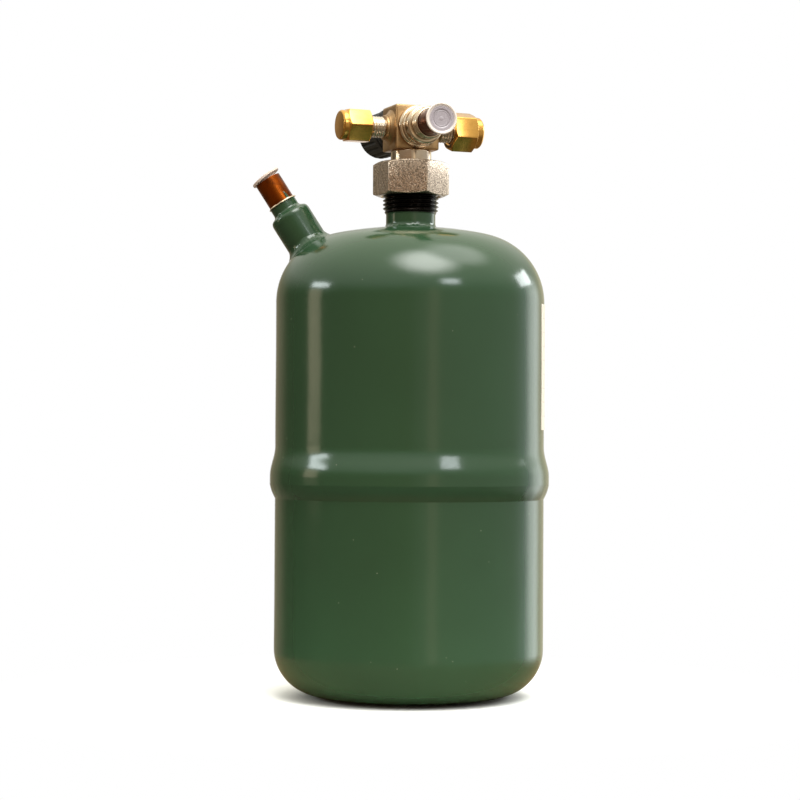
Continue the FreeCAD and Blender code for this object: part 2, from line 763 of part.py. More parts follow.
def make_inlet_plug():
    mouth = inlet_middle + inlet_way * inlet_tube_end
    right_side = Vector(math.cos(inlet_lean), 0, math.sin(inlet_lean))
    return cocked_plug(inlet_way, mouth, right_side, inlet_tube_radius - inlet_tube_wall)


def make_all():
    stem_disc, stem = make_stem_disc_and_stem()
    left = (left_way, left_port_radius, left_port_end)
    right = (right_way, right_port_radius, right_port_end)
    return {
        "lower_shell": make_lower_shell(),
        "upper_shell": make_upper_shell(),
        "shell_weld": make_shell_weld(),
        "label": make_label(),
        "neck": make_neck(),
        "neck_weld": make_neck_weld(),
        "dip_tube": make_dip_tube(),
        "union_seal": make_union_seal(),
        "tailpiece": make_tailpiece(),
        "thrust_washer": make_thrust_washer(),
        "union_nut": make_union_nut(),
        "valve_block": make_valve_block(),
        "outlet_tube": make_outlet_tube(),
        "outlet_plug": make_outlet_plug(),
        "stem_disc": stem_disc,
        "stem": stem,
        "gland_washer": make_gland_washer(),
        "stem_packing": make_packing(),
        "gland_nut": make_gland_nut(),
        "stem_cap_gasket": make_stem_cap_gasket(),
        "stem_cap": make_stem_cap(),
        "left_port": make_port(*left),
        "left_cap_seal": make_cap_seal(*left),
        "left_cap": make_port_cap(*left, left_cap_across_flats, left_cap_start, left_cap_hex_length,
                                  left_cap_length, left_cap_end_radius, left_cap_turn_angle),
        "right_port": make_port(*right),
        "right_cap_seal": make_cap_seal(*right),
        "right_cap": make_port_cap(*right, right_cap_across_flats, right_cap_start,
                                   right_cap_hex_length, right_cap_length, right_cap_end_radius,
                                   right_cap_turn_angle),
        "inlet_boss": make_inlet_boss(),
        "inlet_weld": make_inlet_weld(),
        "inlet_tube": make_inlet_tube(),
        "inlet_braze": make_inlet_braze(),
        "inlet_plug": make_inlet_plug(),
    }


os.makedirs("parts", exist_ok=True)
for name, shape in make_all().items():
    solids = shape.Solids
    if len(solids) != 1 or not shape.isValid():
        print("CHECK", name, "solids", len(solids), "valid", shape.isValid())
    solids[0].exportStep(os.path.join("parts", name + ".step"))
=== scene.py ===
"""Looks of the refrigerant liquid receiver: enamelled vessel, copper stubs, plated valve and brass caps."""

import math

import bpy
import numpy as np
from mathutils import Matrix, Vector


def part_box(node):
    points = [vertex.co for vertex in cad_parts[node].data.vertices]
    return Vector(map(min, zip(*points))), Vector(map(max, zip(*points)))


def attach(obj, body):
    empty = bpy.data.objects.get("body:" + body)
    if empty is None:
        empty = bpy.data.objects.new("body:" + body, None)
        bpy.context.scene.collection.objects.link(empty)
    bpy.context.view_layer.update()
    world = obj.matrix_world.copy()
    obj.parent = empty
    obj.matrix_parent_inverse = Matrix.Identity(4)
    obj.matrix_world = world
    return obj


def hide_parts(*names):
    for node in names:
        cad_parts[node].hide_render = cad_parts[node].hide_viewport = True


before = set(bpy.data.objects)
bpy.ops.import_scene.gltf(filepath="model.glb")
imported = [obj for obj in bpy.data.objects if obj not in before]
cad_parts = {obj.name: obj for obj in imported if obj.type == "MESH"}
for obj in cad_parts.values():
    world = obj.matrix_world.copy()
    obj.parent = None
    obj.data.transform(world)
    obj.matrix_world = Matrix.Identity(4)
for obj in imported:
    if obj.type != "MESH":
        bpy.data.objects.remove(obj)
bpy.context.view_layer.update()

bl_info = {
    "name": "Refrigerant liquid receiver",
    "version": (1, 0, 0),
    "blender": (4, 5, 0),
    "location": "View3D > Sidebar > Receiver",
    "description": "Builds the finished surfaces of a refrigerant liquid receiver around its packed solids",
    "category": "Object",
}

MM = 0.001

# Vessel, in millimetres
VESSEL_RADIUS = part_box("lower_shell")[1][0] / MM
SHELL_WALL = 2.3
VESSEL_HEIGHT = 211.0
BASE_FLAT_RADIUS = 26.0
BASE_CROWN_RADIUS = 430.0
BASE_KNUCKLE_RADIUS = 20.8
TOP_CROWN_RADIUS = 175.0
TOP_KNUCKLE_RADIUS = 31.0
SEAM_HEIGHT = 95.5
BELL_DEPTH = 8.0
BELL_TAPER = 12.5
WELD_HEIGHT = 6.5
BELL_RADIUS = VESSEL_RADIUS + 0.04 + SHELL_WALL
LABEL_BASE = 120.0
LABEL_TOP = 176.0
LABEL_START = math.radians(-15.5)
LABEL_SWEEP = math.radians(55.5)

# Neck and union joint
NECK_RADIUS = 11.15
THREAD_RADIUS = 12.6
THREAD_PITCH = 1.814
THREAD_DEPTH = 1.1
THREAD_BASE = 217.3
THREAD_TOP = 232.6
NECK_BORE_RADIUS = 7.5
NUT_BASE = 225.1
NUT_TOP = 240.4
NUT_ACROSS_FLATS = 30.0
NUT_TURN = math.radians(-4.8)
NUT_CHAMFER = math.radians(20)
NUT_SHOULDER = 237.8
TAILPIECE_RADIUS = 9.15
TAILPIECE_BASE = 234.1

# Valve, turned about the vessel axis
VALVE_TURN = math.radians(22.0)
BLOCK_BASE = 245.7
BLOCK_WIDTH = 20.8
BLOCK_HEIGHT = 19.9
BLOCK_FRONT = 8.0
BLOCK_BACK = 9.0
BLOCK_MIDDLE = np.array([0.0, 0.0, BLOCK_BASE + BLOCK_HEIGHT / 2])
STEM_MIDDLE = BLOCK_MIDDLE + np.array([0.0, 0.0, 1.8])
OUTLET_WAY = np.array([math.sin(VALVE_TURN), -math.cos(VALVE_TURN), 0.0])
RIGHT_WAY = np.array([math.cos(VALVE_TURN), math.sin(VALVE_TURN), 0.0])
OUTLET_END = 23.0
OUTLET_TUBE_END = 34.1
TUBE_RADIUS = 6.0
TUBE_WALL = 1.0
STEM_NOSE_END = 26.0
STEM_CAP_START = 18.0
STEM_CAP_LENGTH = 21.6
PLUG_TILT = math.radians(6.5)
PLUG_FLANGE_RADIUS = 6.95

# Inlet stub
INLET_LEAN = math.radians(32.5)
INLET_WAY = np.array([-math.sin(INLET_LEAN), 0.0, math.cos(INLET_LEAN)])
INLET_SIDE = np.array([math.cos(INLET_LEAN), 0.0, math.sin(INLET_LEAN)])
KNUCKLE_REACH = VESSEL_RADIUS - TOP_KNUCKLE_RADIUS
CROWN_MIDDLE = VESSEL_HEIGHT - TOP_CROWN_RADIUS
KNUCKLE_HEIGHT = CROWN_MIDDLE + math.sqrt((TOP_CROWN_RADIUS - TOP_KNUCKLE_RADIUS) ** 2 - KNUCKLE_REACH ** 2)
INLET_MIDDLE = np.array([-KNUCKLE_REACH, 0.0, KNUCKLE_HEIGHT])
INLET_BOSS_RADIUS = 9.35
INLET_BOSS_TOP = 45.8
INLET_NOSE_RADIUS = 6.25
INLET_NOSE_TOP = 53.0
INLET_TUBE_END = 65.6

# Camera, worked out from the outline of the object
PHOTO_SIZE = 800
FOCAL_PIXELS = 2130.0
CAMERA_DISTANCE = 0.960
CAMERA_HEIGHT = 0.11466
AXIS_PIXEL = (409.7, 441.28)
CAMERA_ROLL = 0.0055
SENSOR_WIDTH = 36.0

# Light of the room by direction round from the front (degrees, +X to the right), as linear colours
LEVEL_LIGHT = (
    (-180, (0.40, 0.33, 0.22)), (-140, (0.34, 0.28, 0.19)), (-126, (0.10, 0.08, 0.05)),
    (-100, (0.14, 0.11, 0.07)), (-60, (0.28, 0.20, 0.13)), (0, (0.34, 0.22, 0.13)),
    (5, (0.44, 0.36, 0.25)), (14, (0.58, 0.50, 0.37)), (17, (1.05, 0.86, 0.62)),
    (22, (1.05, 0.86, 0.62)), (26, (0.56, 0.50, 0.38)), (100, (0.58, 0.56, 0.50)),
    (116, (0.95, 1.00, 1.02)), (124, (2.60, 2.75, 2.60)), (136, (2.60, 2.75, 2.60)),
    (146, (0.95, 0.86, 0.62)), (180, (0.80, 0.72, 0.50)))
# Light of the room by the sine of its height where it doesn't depend on direction
CEILING_LIGHT = ((-1.0, (0.16, 0.12, 0.08)), (-0.1, (0.24, 0.20, 0.14)), (0.12, (0.34, 0.33, 0.28)),
                 (0.45, (1.00, 0.98, 0.88)), (1.0, (1.75, 1.68, 1.45)))
# How far the light by direction counts, by the sine of the height
LEVEL_SHARE = ((-0.45, 0.0), (-0.2, 1.0), (0.16, 1.0), (0.34, 0.0))
# Reflections see the white backdrop where they leave within this cosine of straight back
BACKDROP_EDGE = (0.965, 0.985)

# Lamps: name, degrees round from the front towards +X, degrees up, distance, width and height in metres,
# and radiance as a linear colour
LAMPS = (
    ("front_right_panel", 35, 24, 1.60, 0.40, 0.20, (9.5, 10.2, 10.6)),
    ("left_window", -87, 5, 1.60, 0.40, 0.42, (2.3, 1.95, 1.4)),
    ("left_window_top", -83, 17, 1.60, 0.52, 0.16, (11.0, 12.2, 12.2)),
    ("right_window_top", 120, 20, 1.60, 0.60, 0.30, (8.5, 9.0, 9.1)))
LAMP_TARGET = (0.0, 0.0, 0.17)
# Soft glows overhead: degrees round and up, cosines where one starts and peaks, and its peak as a linear colour.
# The first shows on the dome, the second in the upper flats of the brass caps
GLOWS = (
    (21, 59, (0.86, 1.0), (12.0, 12.2, 11.6, 1.0)),
    (84, 64, (0.90, 0.99), (4.6, 4.6, 4.3, 1.0)))


class ReceiverSizes(bpy.types.PropertyGroup):
    """Small sizes of the finished surfaces."""
    edge_round: bpy.props.FloatProperty(
        name="Edge round", description="Radius on the machined edges", default=0.25 * MM,
        unit="LENGTH", subtype="DISTANCE", min=0.0)
    weld_ripple: bpy.props.FloatProperty(
        name="Weld ripple", description="Depth of the ripple along the weld beads", default=0.12 * MM,
        unit="LENGTH", subtype="DISTANCE", min=0.0)
    peel_size: bpy.props.FloatProperty(
        name="Orange peel", description="Width of one cell of the orange peel in the enamel",
        default=2.6 * MM, unit="LENGTH", subtype="DISTANCE", min=0.0001)
    zinc_grain: bpy.props.FloatProperty(
        name="Zinc grain", description="Width of one crystal of the zinc plating", default=0.38 * MM,
        unit="LENGTH", subtype="DISTANCE", min=0.0001)
    around: bpy.props.IntProperty(
        name="Segments", description="Number of segments round the vessel", default=256, min=32, max=512)


class ReceiverColours(bpy.types.PropertyGroup):
    """Colours of the finishes, as sRGB hex values."""
    enamel: bpy.props.StringProperty(
        name="Enamel", description="Dark green gloss enamel", default="26402A")
    zinc: bpy.props.StringProperty(
        name="Zinc", description="Zinc plating of the union nut", default="B3A292")
    nickel: bpy.props.StringProperty(
        name="Nickel", description="Satin nickel plating of the valve body", default="B08E66")
    turned_steel: bpy.props.StringProperty(
        name="Turned steel", description="Bright turned faces of the valve", default="E2D8CB")
    brass: bpy.props.StringProperty(
        name="Brass", description="Polished brass of the service caps", default="DDA857")
    copper: bpy.props.StringProperty(
        name="Copper", description="Drawn copper of the stubs", default="8A4210")
    white_plug: bpy.props.StringProperty(
        name="White plug", description="White moulded shipping plug", default="DCC8BE")
    # Middle of the cloudy plug: its colour is darkened as painted shade of the tube's dark bore behind it, and the rim
    # stays paler
    cloudy_plug: bpy.props.StringProperty(
        name="Cloudy plug", description="Cloudy moulded shipping plug", default="A39AA2")
    black_cap: bpy.props.StringProperty(
        name="Black cap", description="Black moulded stem cap", default="0A0706")


# Surfaces

def fillet_path(corners, steps=5):
    """Outline of (radius, height) points whose corners are eased.

    Each corner (radius, height, ease) is replaced by a parabola that leaves the
    incoming line and meets the outgoing line at the distance ease from the corner,
    and never takes more than 0.45 of either line.
    """
    path = []
    last = len(corners) - 1
    for index, (radius, height, ease) in enumerate(corners):
        here = np.array([radius, height], float)
        if ease <= 0 or index in (0, last):
            path.append(here)
            continue
        before = np.array(corners[index - 1][:2], float) - here
        after = np.array(corners[index + 1][:2], float) - here
        first = here + before * min(ease / np.linalg.norm(before), 0.45)
        second = here + after * min(ease / np.linalg.norm(after), 0.45)
        for t in np.linspace(0, 1, steps):
            path.append((1 - t) ** 2 * first + 2 * t * (1 - t) * here + t ** 2 * second)
    return np.array(path)


def angles(around):
    """Evenly spaced angles round a circle, without repeating the first."""
    return np.linspace(0, 2 * math.pi, around, endpoint=False)


def revolve(path, around):
    """Rings of points: each (radius, height) turned about Z at evenly spaced angles."""
    turn = angles(around)
    radius = path[:, 0][:, None]
    height = np.repeat(path[:, 1][:, None], around, axis=1)
    return np.stack([radius * np.cos(turn), radius * np.sin(turn), height], axis=-1)


def hexagon_outline(across_flats, corner_round, flat_steps=10, corner_steps=6):
    """Points round a hexagon with rounded corners, one corner on +X.

    Each corner is an arc of 60 degrees of radius corner_round about a centre that
    lies on the corner's bisector, and straight flats join the arcs.
    """
    centre = (across_flats / 2 - corner_round) / math.cos(math.pi / 6)
    points = []
    for side in range(6):
        middle = math.radians(60 * side)
        turn = middle + np.radians(np.linspace(-30, 30, corner_steps))
        arc = np.stack([centre * math.cos(middle) + corner_round * np.cos(turn),
                        centre * math.sin(middle) + corner_round * np.sin(turn)], axis=-1)
        following = middle + math.radians(60)
        start = np.array([centre * math.cos(following) + corner_round * math.cos(following - math.pi / 6),
                          centre * math.sin(following) + corner_round * math.sin(following - math.pi / 6)])
        share = np.linspace(0, 1, flat_steps)[1:-1, None]
        points.append(np.vstack([arc, arc[-1] + share * (start - arc[-1])]))
    return np.vstack(points)


def ease_rings(rings, ease, steps=4):
    """Replaces each inner ring by a parabola between its neighbours, point by point.

    ease is the distance from the ring at which the parabola starts and ends, capped
    at 0.45 of the distance to the neighbouring ring. It may differ from ring to ring.
    """
    result = [rings[0]]
    for index in range(1, len(rings) - 1):
        here = rings[index]
        before = rings[index - 1] - here
        after = rings[index + 1] - here
        reach_before = np.maximum(np.linalg.norm(before, axis=1, keepdims=True), 1e-9)
        reach_after = np.maximum(np.linalg.norm(after, axis=1, keepdims=True), 1e-9)
        first = here + before * np.minimum(ease[index] / reach_before, 0.45)
        second = here + after * np.minimum(ease[index] / reach_after, 0.45)
        for t in np.linspace(0, 1, steps):
            result.append((1 - t) ** 2 * first + 2 * t * (1 - t) * here + t ** 2 * second)
    result.append(rings[-1])
    return np.array(result)


def axis_turn(way, turn=0.0):
    """Rotation that carries +Z to way by the shortest turn, after a turn about +Z."""
    aim = Vector((0, 0, 1)).rotation_difference(Vector(way))
    return np.array(aim.to_matrix() @ Matrix.Rotation(turn, 3, "Z"))


def upright_turn(way):
    """Rotation that carries +Z to a level way and keeps local Y upright."""
    up = np.array([0.0, 0.0, 1.0])
    return np.column_stack([np.cross(up, way), up, way])


def placed(points, way, middle, turn=0.0):
    """Points made along +Z, carried to the axis way through middle."""
    return points @ axis_turn(way, turn).T + np.asarray(middle, float)


def signed_volume(points, triangles):
    """Volume inside a closed surface, negative where its faces point inwards."""
    a, b, c = points[triangles[:, 0]], points[triangles[:, 1]], points[triangles[:, 2]]
    return float(np.einsum("ij,ij->i", a, np.cross(b, c)).sum() / 6)


def skin(name, rings, loop=False):
    """Closed mesh of quads between neighbouring rings of points, in millimetres.

    With loop the last ring joins the first, as on a ring or a pipe. A first or last
    ring whose points all meet becomes one pole with triangles round it.
    """
    rings = np.asarray(rings, float)
    count, around, _ = rings.shape
    points = rings.reshape(-1, 3)
    index = np.arange(count * around).reshape(count, around)
    for row in (0, count - 1):
        if np.ptp(rings[row], axis=0).max() < 1e-6:
            index[row] = index[row, 0]
    if loop:
        index = np.vstack([index, index[:1]])
    a, b = index[:-1], index[1:]
    c, d = np.roll(b, -1, axis=1), np.roll(a, -1, axis=1)
    quads = np.stack([a, d, c, b], axis=-1).reshape(-1, 4)
    low_pole = quads[:, 0] == quads[:, 1]
    high_pole = quads[:, 2] == quads[:, 3]
    whole = quads[~low_pole & ~high_pole]
    corners = np.vstack([quads[low_pole][:, [0, 2, 3]], quads[high_pole][:, [0, 1, 2]]])
    triangles = np.vstack([whole[:, [0, 1, 2]], whole[:, [0, 2, 3]], corners])
    if signed_volume(points, triangles) < 0:
        whole, corners = whole[:, ::-1], corners[:, ::-1]
    used, new_index = np.unique(np.concatenate([whole.ravel(), corners.ravel()]), return_inverse=True)
    whole = new_index[:whole.size].reshape(-1, 4)
    corners = new_index[whole.size:].reshape(-1, 3)
    return mesh_object(name, points[used] * MM, whole.tolist() + corners.tolist())


def mesh_object(name, points, faces):
    """A smooth-shaded object at the origin, with edges over 38 degrees kept sharp."""
    mesh = bpy.data.meshes.new(name)
    mesh.from_pydata(points.tolist(), [], faces)
    mesh.update()
    mesh.shade_smooth()
    mesh.set_sharp_from_angle(angle=math.radians(38))
    piece = bpy.data.objects.new(name, mesh)
    bpy.context.scene.collection.objects.link(piece)
    return piece


def sheet_faces(shape):
    """Quads of a thin closed sheet whose points are a grid for its outside, then the same grid for its inside."""
    size = shape[0] * shape[1]
    index = np.arange(size).reshape(shape)
    front = np.stack([index[:-1, :-1], index[1:, :-1], index[1:, 1:], index[:-1, 1:]], axis=-1).reshape(-1, 4)
    back = front[:, ::-1] + size
    rim = np.concatenate([index[:, 0], index[-1, 1:], index[-2::-1, -1], index[0, -2:0:-1]])
    after = np.roll(rim, -1)
    sides = np.stack([rim, rim + size, after + size, after], axis=-1)
    return np.vstack([front, back, sides])


def rounded_box(name, low, high, radius, turn, middle, steps=14):
    """A box with rounded edges, made from one grid for each of its six sides.

    A point of a side is drawn in to the box shrunk by radius, then pushed out by
    radius along the line from that nearest point to the point itself.
    """
    low, high = np.asarray(low, float), np.asarray(high, float)
    share = 0.5 - 0.5 * np.cos(np.linspace(0, math.pi, steps))
    points, faces = [], []
    for axis in range(3):
        others = [k for k in range(3) if k != axis]
        for side in (low, high):
            grid = np.zeros((steps, steps, 3))
            grid[..., axis] = side[axis]
            grid[..., others[0]] = (low[others[0]] + share * (high - low)[others[0]])[:, None]
            grid[..., others[1]] = (low[others[1]] + share * (high - low)[others[1]])[None, :]
            core = np.clip(grid, low + radius, high - radius)
            away = grid - core
            grid = core + radius * away / np.linalg.norm(away, axis=-1, keepdims=True)
            start = sum(len(block) for block in points)
            index = start + np.arange(steps * steps).reshape(steps, steps)
            quads = np.stack([index[:-1, :-1], index[1:, :-1], index[1:, 1:], index[:-1, 1:]], axis=-1)
            outward = (side is high) == (axis != 1)
            quads = quads.reshape(-1, 4)
            faces.append(quads if outward else quads[:, ::-1])
            points.append(grid.reshape(-1, 3))
    points = np.vstack(points)
    _, first, new_index = np.unique(np.round(points, 6), axis=0, return_index=True, return_inverse=True)
    faces = new_index.ravel()[np.vstack(faces)]
    return mesh_object(name, (points[first] @ turn.T + middle) * MM, faces.tolist())


def dish(radius, crown, knuckle, flat, apex, up, steps=28):
    """Outline of a dished end from its axis or flat out to the straight wall.

    The crown is an arc about a point on the axis, the knuckle an arc about a point
    at radius - knuckle from it, and the two arcs share a tangent where they meet.
    """
    sign = -1.0 if up else 1.0
    crown_middle = math.sqrt(crown ** 2 - flat ** 2)
    reach = radius - knuckle
    knuckle_height = crown_middle - math.sqrt((crown - knuckle) ** 2 - reach ** 2)
    join = math.asin(reach / (crown - knuckle))
    first = np.linspace(math.asin(flat / crown), join, steps)
    second = np.linspace(join, math.pi / 2, steps)[1:]
    crown_arc = np.stack([crown * np.sin(first), crown_middle - crown * np.cos(first)], axis=-1)
    knuckle_arc = np.stack([reach + knuckle * np.sin(second),
                            knuckle_height - knuckle * np.cos(second)], axis=-1)
    path = np.vstack([crown_arc, knuckle_arc])
    path[:, 1] = apex + sign * path[:, 1]
    return path


def vessel_depth(points):
    """Distance of points inside (negative) or outside the upper half of the vessel."""
    radius = np.hypot(points[..., 0], points[..., 1])
    height = points[..., 2]
    wall = radius - VESSEL_RADIUS
    knuckle = np.hypot(radius - KNUCKLE_REACH, height - KNUCKLE_HEIGHT) - TOP_KNUCKLE_RADIUS
    crown = np.hypot(radius, height - CROWN_MIDDLE) - TOP_CROWN_RADIUS
    join = math.atan2(KNUCKLE_REACH, KNUCKLE_HEIGHT - CROWN_MIDDLE)
    on_crown = np.arctan2(radius, height - CROWN_MIDDLE) < join
    return np.where(height < KNUCKLE_HEIGHT, wall, np.where(on_crown, crown, knuckle))


def crown_height(radius, depth=0.0):
    """Height of the top crown at a distance from the axis, or of the surface that lies depth below it."""
    return CROWN_MIDDLE + math.sqrt((TOP_CROWN_RADIUS - depth) ** 2 - radius ** 2)


def height_on_vessel(across, along):
    """Distance up the inlet axis at which a line beside it meets the vessel.

    across and along are offsets from the axis; the crossing is found by halving the
    interval between a point inside the vessel and a point outside it.
    """
    turn = axis_turn(INLET_WAY)
    low = np.full(np.shape(across), 0.0)
    high = np.full(np.shape(across), 45.0)
    for _ in range(40):
        middle = (low + high) / 2
        local = np.stack([across, along, middle], axis=-1)
        outside = vessel_depth(local @ turn.T + INLET_MIDDLE) > 0
        high = np.where(outside, middle, high)
        low = np.where(outside, low, middle)
    return (low + high) / 2


def smooth_noise(turn, height, seed):
    """A soft repeatable unevenness: a sum of a few sine waves round and up the surface."""
    rng = np.random.default_rng(seed)
    total = np.zeros(np.broadcast(turn, height).shape)
    for _ in range(6):
        waves = rng.integers(1, 7)
        rise = rng.uniform(-0.12, 0.12)
        phase = rng.uniform(0, 2 * math.pi)
        total = total + np.sin(waves * turn + rise * height + phase)
    return total / 6


# Materials

def hex_colour(text):
    """Linear colour with alpha from an sRGB hex value such as 33502F."""
    values = np.array([int(text[k:k + 2], 16) for k in (0, 2, 4)]) / 255.0
    linear = np.where(values <= 0.04045, values / 12.92, ((values + 0.055) / 1.055) ** 2.4)
    return (*linear.tolist(), 1.0)


def add(tree, kind, inputs=None, **settings):
    """Adds a node, sets its settings and fills its inputs with values or links."""
    made = tree.nodes.new(kind)
    for name, value in settings.items():
        setattr(made, name, value)
    for name, value in (inputs or {}).items():
        socket = made.inputs[name]
        if isinstance(value, bpy.types.NodeSocket):
            tree.links.new(value, socket)
        else:
            socket.default_value = value
    return made


def ramp(tree, value, stops):
    """A colour ramp: stops are (position, colour) with linear colours or greys."""
    made = add(tree, "ShaderNodeValToRGB", {"Fac": value})
    elements = made.color_ramp.elements
    while len(elements) < len(stops):
        elements.new(0.5)
    for element, (position, colour) in zip(elements, stops):
        element.position = position
        element.color = colour if isinstance(colour, tuple) else (colour, colour, colour, 1.0)
    return made.outputs["Color"]


def new_material(name):
    """An empty node material with its shader and its output. Returns material, tree and shader."""
    material = bpy.data.materials.new(name)
    material.use_nodes = True
    tree = material.node_tree
    tree.nodes.clear()
    shader = add(tree, "ShaderNodeBsdfPrincipled")
    add(tree, "ShaderNodeOutputMaterial", {"Surface": shader.outputs["BSDF"]})
    return material, tree, shader


def fill(tree, shader, **values):
    """Sets or links the shader's inputs, named with underscores for spaces."""
    for name, value in values.items():
        socket = shader.inputs[name.replace("_", " ")]
        if isinstance(value, bpy.types.NodeSocket):
            tree.links.new(value, socket)
        else:
            socket.default_value = value


def place_of(tree, way=None, middle=None):
    """Object coordinates in millimetres, along a piece's own axis if one is given."""
    coordinate = add(tree, "ShaderNodeTexCoord").outputs["Object"]
    size = 1.0 / MM
    if way is None:
        return add(tree, "ShaderNodeMapping", {"Vector": coordinate, "Scale": (size, size, size)}).outputs["Vector"]
    back = Matrix(axis_turn(way).tolist()).transposed()
    moved = back @ Vector(-np.asarray(middle) * MM)
    spun = add(tree, "ShaderNodeMapping", {
        "Vector": coordinate, "Rotation": back.to_euler("XYZ"), "Location": moved}).outputs["Vector"]
    return add(tree, "ShaderNodeMapping", {"Vector": spun, "Scale": (size, size, size)}).outputs["Vector"]


def maths(tree, operation, first, second=0.0):
    """One arithmetic step between values or sockets."""
    return add(tree, "ShaderNodeMath", {0: first, 1: second}, operation=operation).outputs[0]


def mix_colour(tree, share, first, second, mode="MIX"):
    """Mixes or blends two colours by a share."""
    made = add(tree, "ShaderNodeMix", data_type="RGBA", blend_type=mode)
    for index, value in ((0, share), (6, first), (7, second)):
        if isinstance(value, bpy.types.NodeSocket):
            tree.links.new(value, made.inputs[index])
        else:
            made.inputs[index].default_value = value
    return made.outputs[2]


def noise(tree, vector, scale, detail=3.0, roughness=0.5):
    """Noise value at a scale, in cells for each unit of the vector."""
    return add(tree, "ShaderNodeTexNoise", {
        "Vector": vector, "Scale": scale, "Detail": detail, "Roughness": roughness}).outputs[0]


def bump(tree, height, depth_mm, strength=1.0, normal=None):
    """Bump of a stated depth in millimetres from a height between 0 and 1."""
    inputs = {"Height": height, "Strength": strength, "Distance": depth_mm * MM}
    if normal is not None:
        inputs["Normal"] = normal
    return add(tree, "ShaderNodeBump", inputs).outputs["Normal"]


def distance_from_axis(tree, vector):
    """Distance from the local Z axis, for turning marks round it."""
    parts = add(tree, "ShaderNodeSeparateXYZ", {0: vector})
    squares = maths(tree, "ADD", maths(tree, "POWER", parts.outputs[0], 2.0),
                    maths(tree, "POWER", parts.outputs[1], 2.0))
    return maths(tree, "SQRT", squares), parts.outputs[2]


def gloss_enamel(colours, sizes, name="gloss_enamel_sprayed"):
    """Sprayed gloss enamel on steel: dark body colour, soft reflections broken by fine orange peel."""
    material, tree, shader = new_material(name)
    place = place_of(tree)
    base = hex_colour(colours.enamel)
    patch = noise(tree, place, 0.018, 2.0)
    fine = noise(tree, place, 0.6, 4.0, 0.6)
    colour = mix_colour(tree, ramp(tree, patch, [(0.3, 0.0), (0.7, 1.0)]),
                        tuple(c * 0.93 for c in base[:3]) + (1.0,), tuple(c * 1.07 for c in base[:3]) + (1.0,))
    # dust that settled in the wet paint shows as rare pale specks about 0.4 mm wide
    cells = add(tree, "ShaderNodeTexVoronoi", {"Vector": place, "Scale": 0.11, "Randomness": 1.0})
    speck = ramp(tree, cells.outputs["Distance"], [(0.018, 1.0), (0.03, 0.0)])
    colour = mix_colour(tree, maths(tree, "MULTIPLY", speck, 0.35), colour, hex_colour("A9AC93"))
    peel = noise(tree, place, MM / sizes.peel_size, 1.5, 0.4)
    drift = noise(tree, place, 0.035, 1.0)
    normal = bump(tree, peel, 0.016)
    normal = bump(tree, drift, 0.25, 1.0, normal)
    normal = bump(tree, speck, 0.05, 0.8, normal)
    rough = ramp(tree, fine, [(0.3, 0.13), (0.75, 0.19)])
    fill(tree, shader, Base_Color=colour, Roughness=rough, Normal=normal, Specular_IOR_Level=0.5)
    return material


def worked_metal(name, colour, rough, way=None, middle=None, marks_mm=0.35, marks_depth=0.008,
                 dirt=None, dirt_share=0.5, grain_mm=6.0):
    """Turned or milled metal: rings of tool marks round the piece's axis, handling smears and stains."""
    material, tree, shader = new_material(name)
    place = place_of(tree, way, middle)
    radius, along = distance_from_axis(tree, place)
    lines = noise(tree, add(tree, "ShaderNodeCombineXYZ", {
        0: maths(tree, "MULTIPLY", radius, 1.0 / marks_mm), 1: maths(tree, "MULTIPLY", along, 1.0 / marks_mm)
    }).outputs[0], 1.0, 2.0)
    smear = noise(tree, place, 1.0 / grain_mm, 4.0, 0.6)
    base = hex_colour(colour)
    stain = hex_colour(dirt) if dirt else tuple(c * 0.7 for c in base[:3]) + (1.0,)
    share = maths(tree, "MULTIPLY", ramp(tree, smear, [(0.42, 0.0), (0.72, 1.0)]), dirt_share)
    body = mix_colour(tree, share, base, stain)
    fill(tree, shader, Base_Color=body, Metallic=1.0, Normal=bump(tree, lines, marks_depth),
         Roughness=ramp(tree, smear, [(0.3, rough), (0.75, min(rough * 1.6, 1.0))]))
    return material


def zinc_plating(colours, sizes):
    """Zinc plating over a forged nut: a coarse crystal grain that glitters from facet to facet."""
    material, tree, shader = new_material("zinc_plated_forged_steel")
    place = place_of(tree)
    grain = MM / sizes.zinc_grain
    cells = add(tree, "ShaderNodeTexVoronoi", {"Vector": place, "Scale": grain, "Randomness": 1.0})
    level = add(tree, "ShaderNodeSeparateColor", {0: cells.outputs["Color"]}).outputs[0]
    fine = noise(tree, place, grain * 1.3, 2.0, 0.7)
    base = hex_colour(colours.zinc)
    body = mix_colour(tree, level, tuple(c * 0.4 for c in base[:3]) + (1.0,),
                      tuple(min(c * 1.75, 1.0) for c in base[:3]) + (1.0,))
    normal = bump(tree, level, 0.06, 1.0)
    normal = bump(tree, fine, 0.012, 1.0, normal)
    fill(tree, shader, Base_Color=body, Metallic=1.0, Normal=normal,
         Roughness=ramp(tree, fine, [(0.3, 0.20), (0.75, 0.34)]))
    return material


def moulded_plastic(name, colour, rough, texture_mm=0.8, depth=0.01):
    """Moulded plastic: even colour and a faint skin texture."""
    material, tree, shader = new_material(name)
    place = place_of(tree)
    cloud = noise(tree, place, 0.25, 3.0)
    base = hex_colour(colour)
    body = mix_colour(tree, cloud, tuple(c * 0.94 for c in base[:3]) + (1.0,),
                      tuple(min(c * 1.05, 1.0) for c in base[:3]) + (1.0,))
    skin_noise = noise(tree, place, 1.0 / texture_mm, 3.0)
    fill(tree, shader, Base_Color=body, Normal=bump(tree, skin_noise, depth),
         Roughness=ramp(tree, skin_noise, [(0.3, rough * 0.85), (0.7, min(rough * 1.15, 1.0))]))
    return material


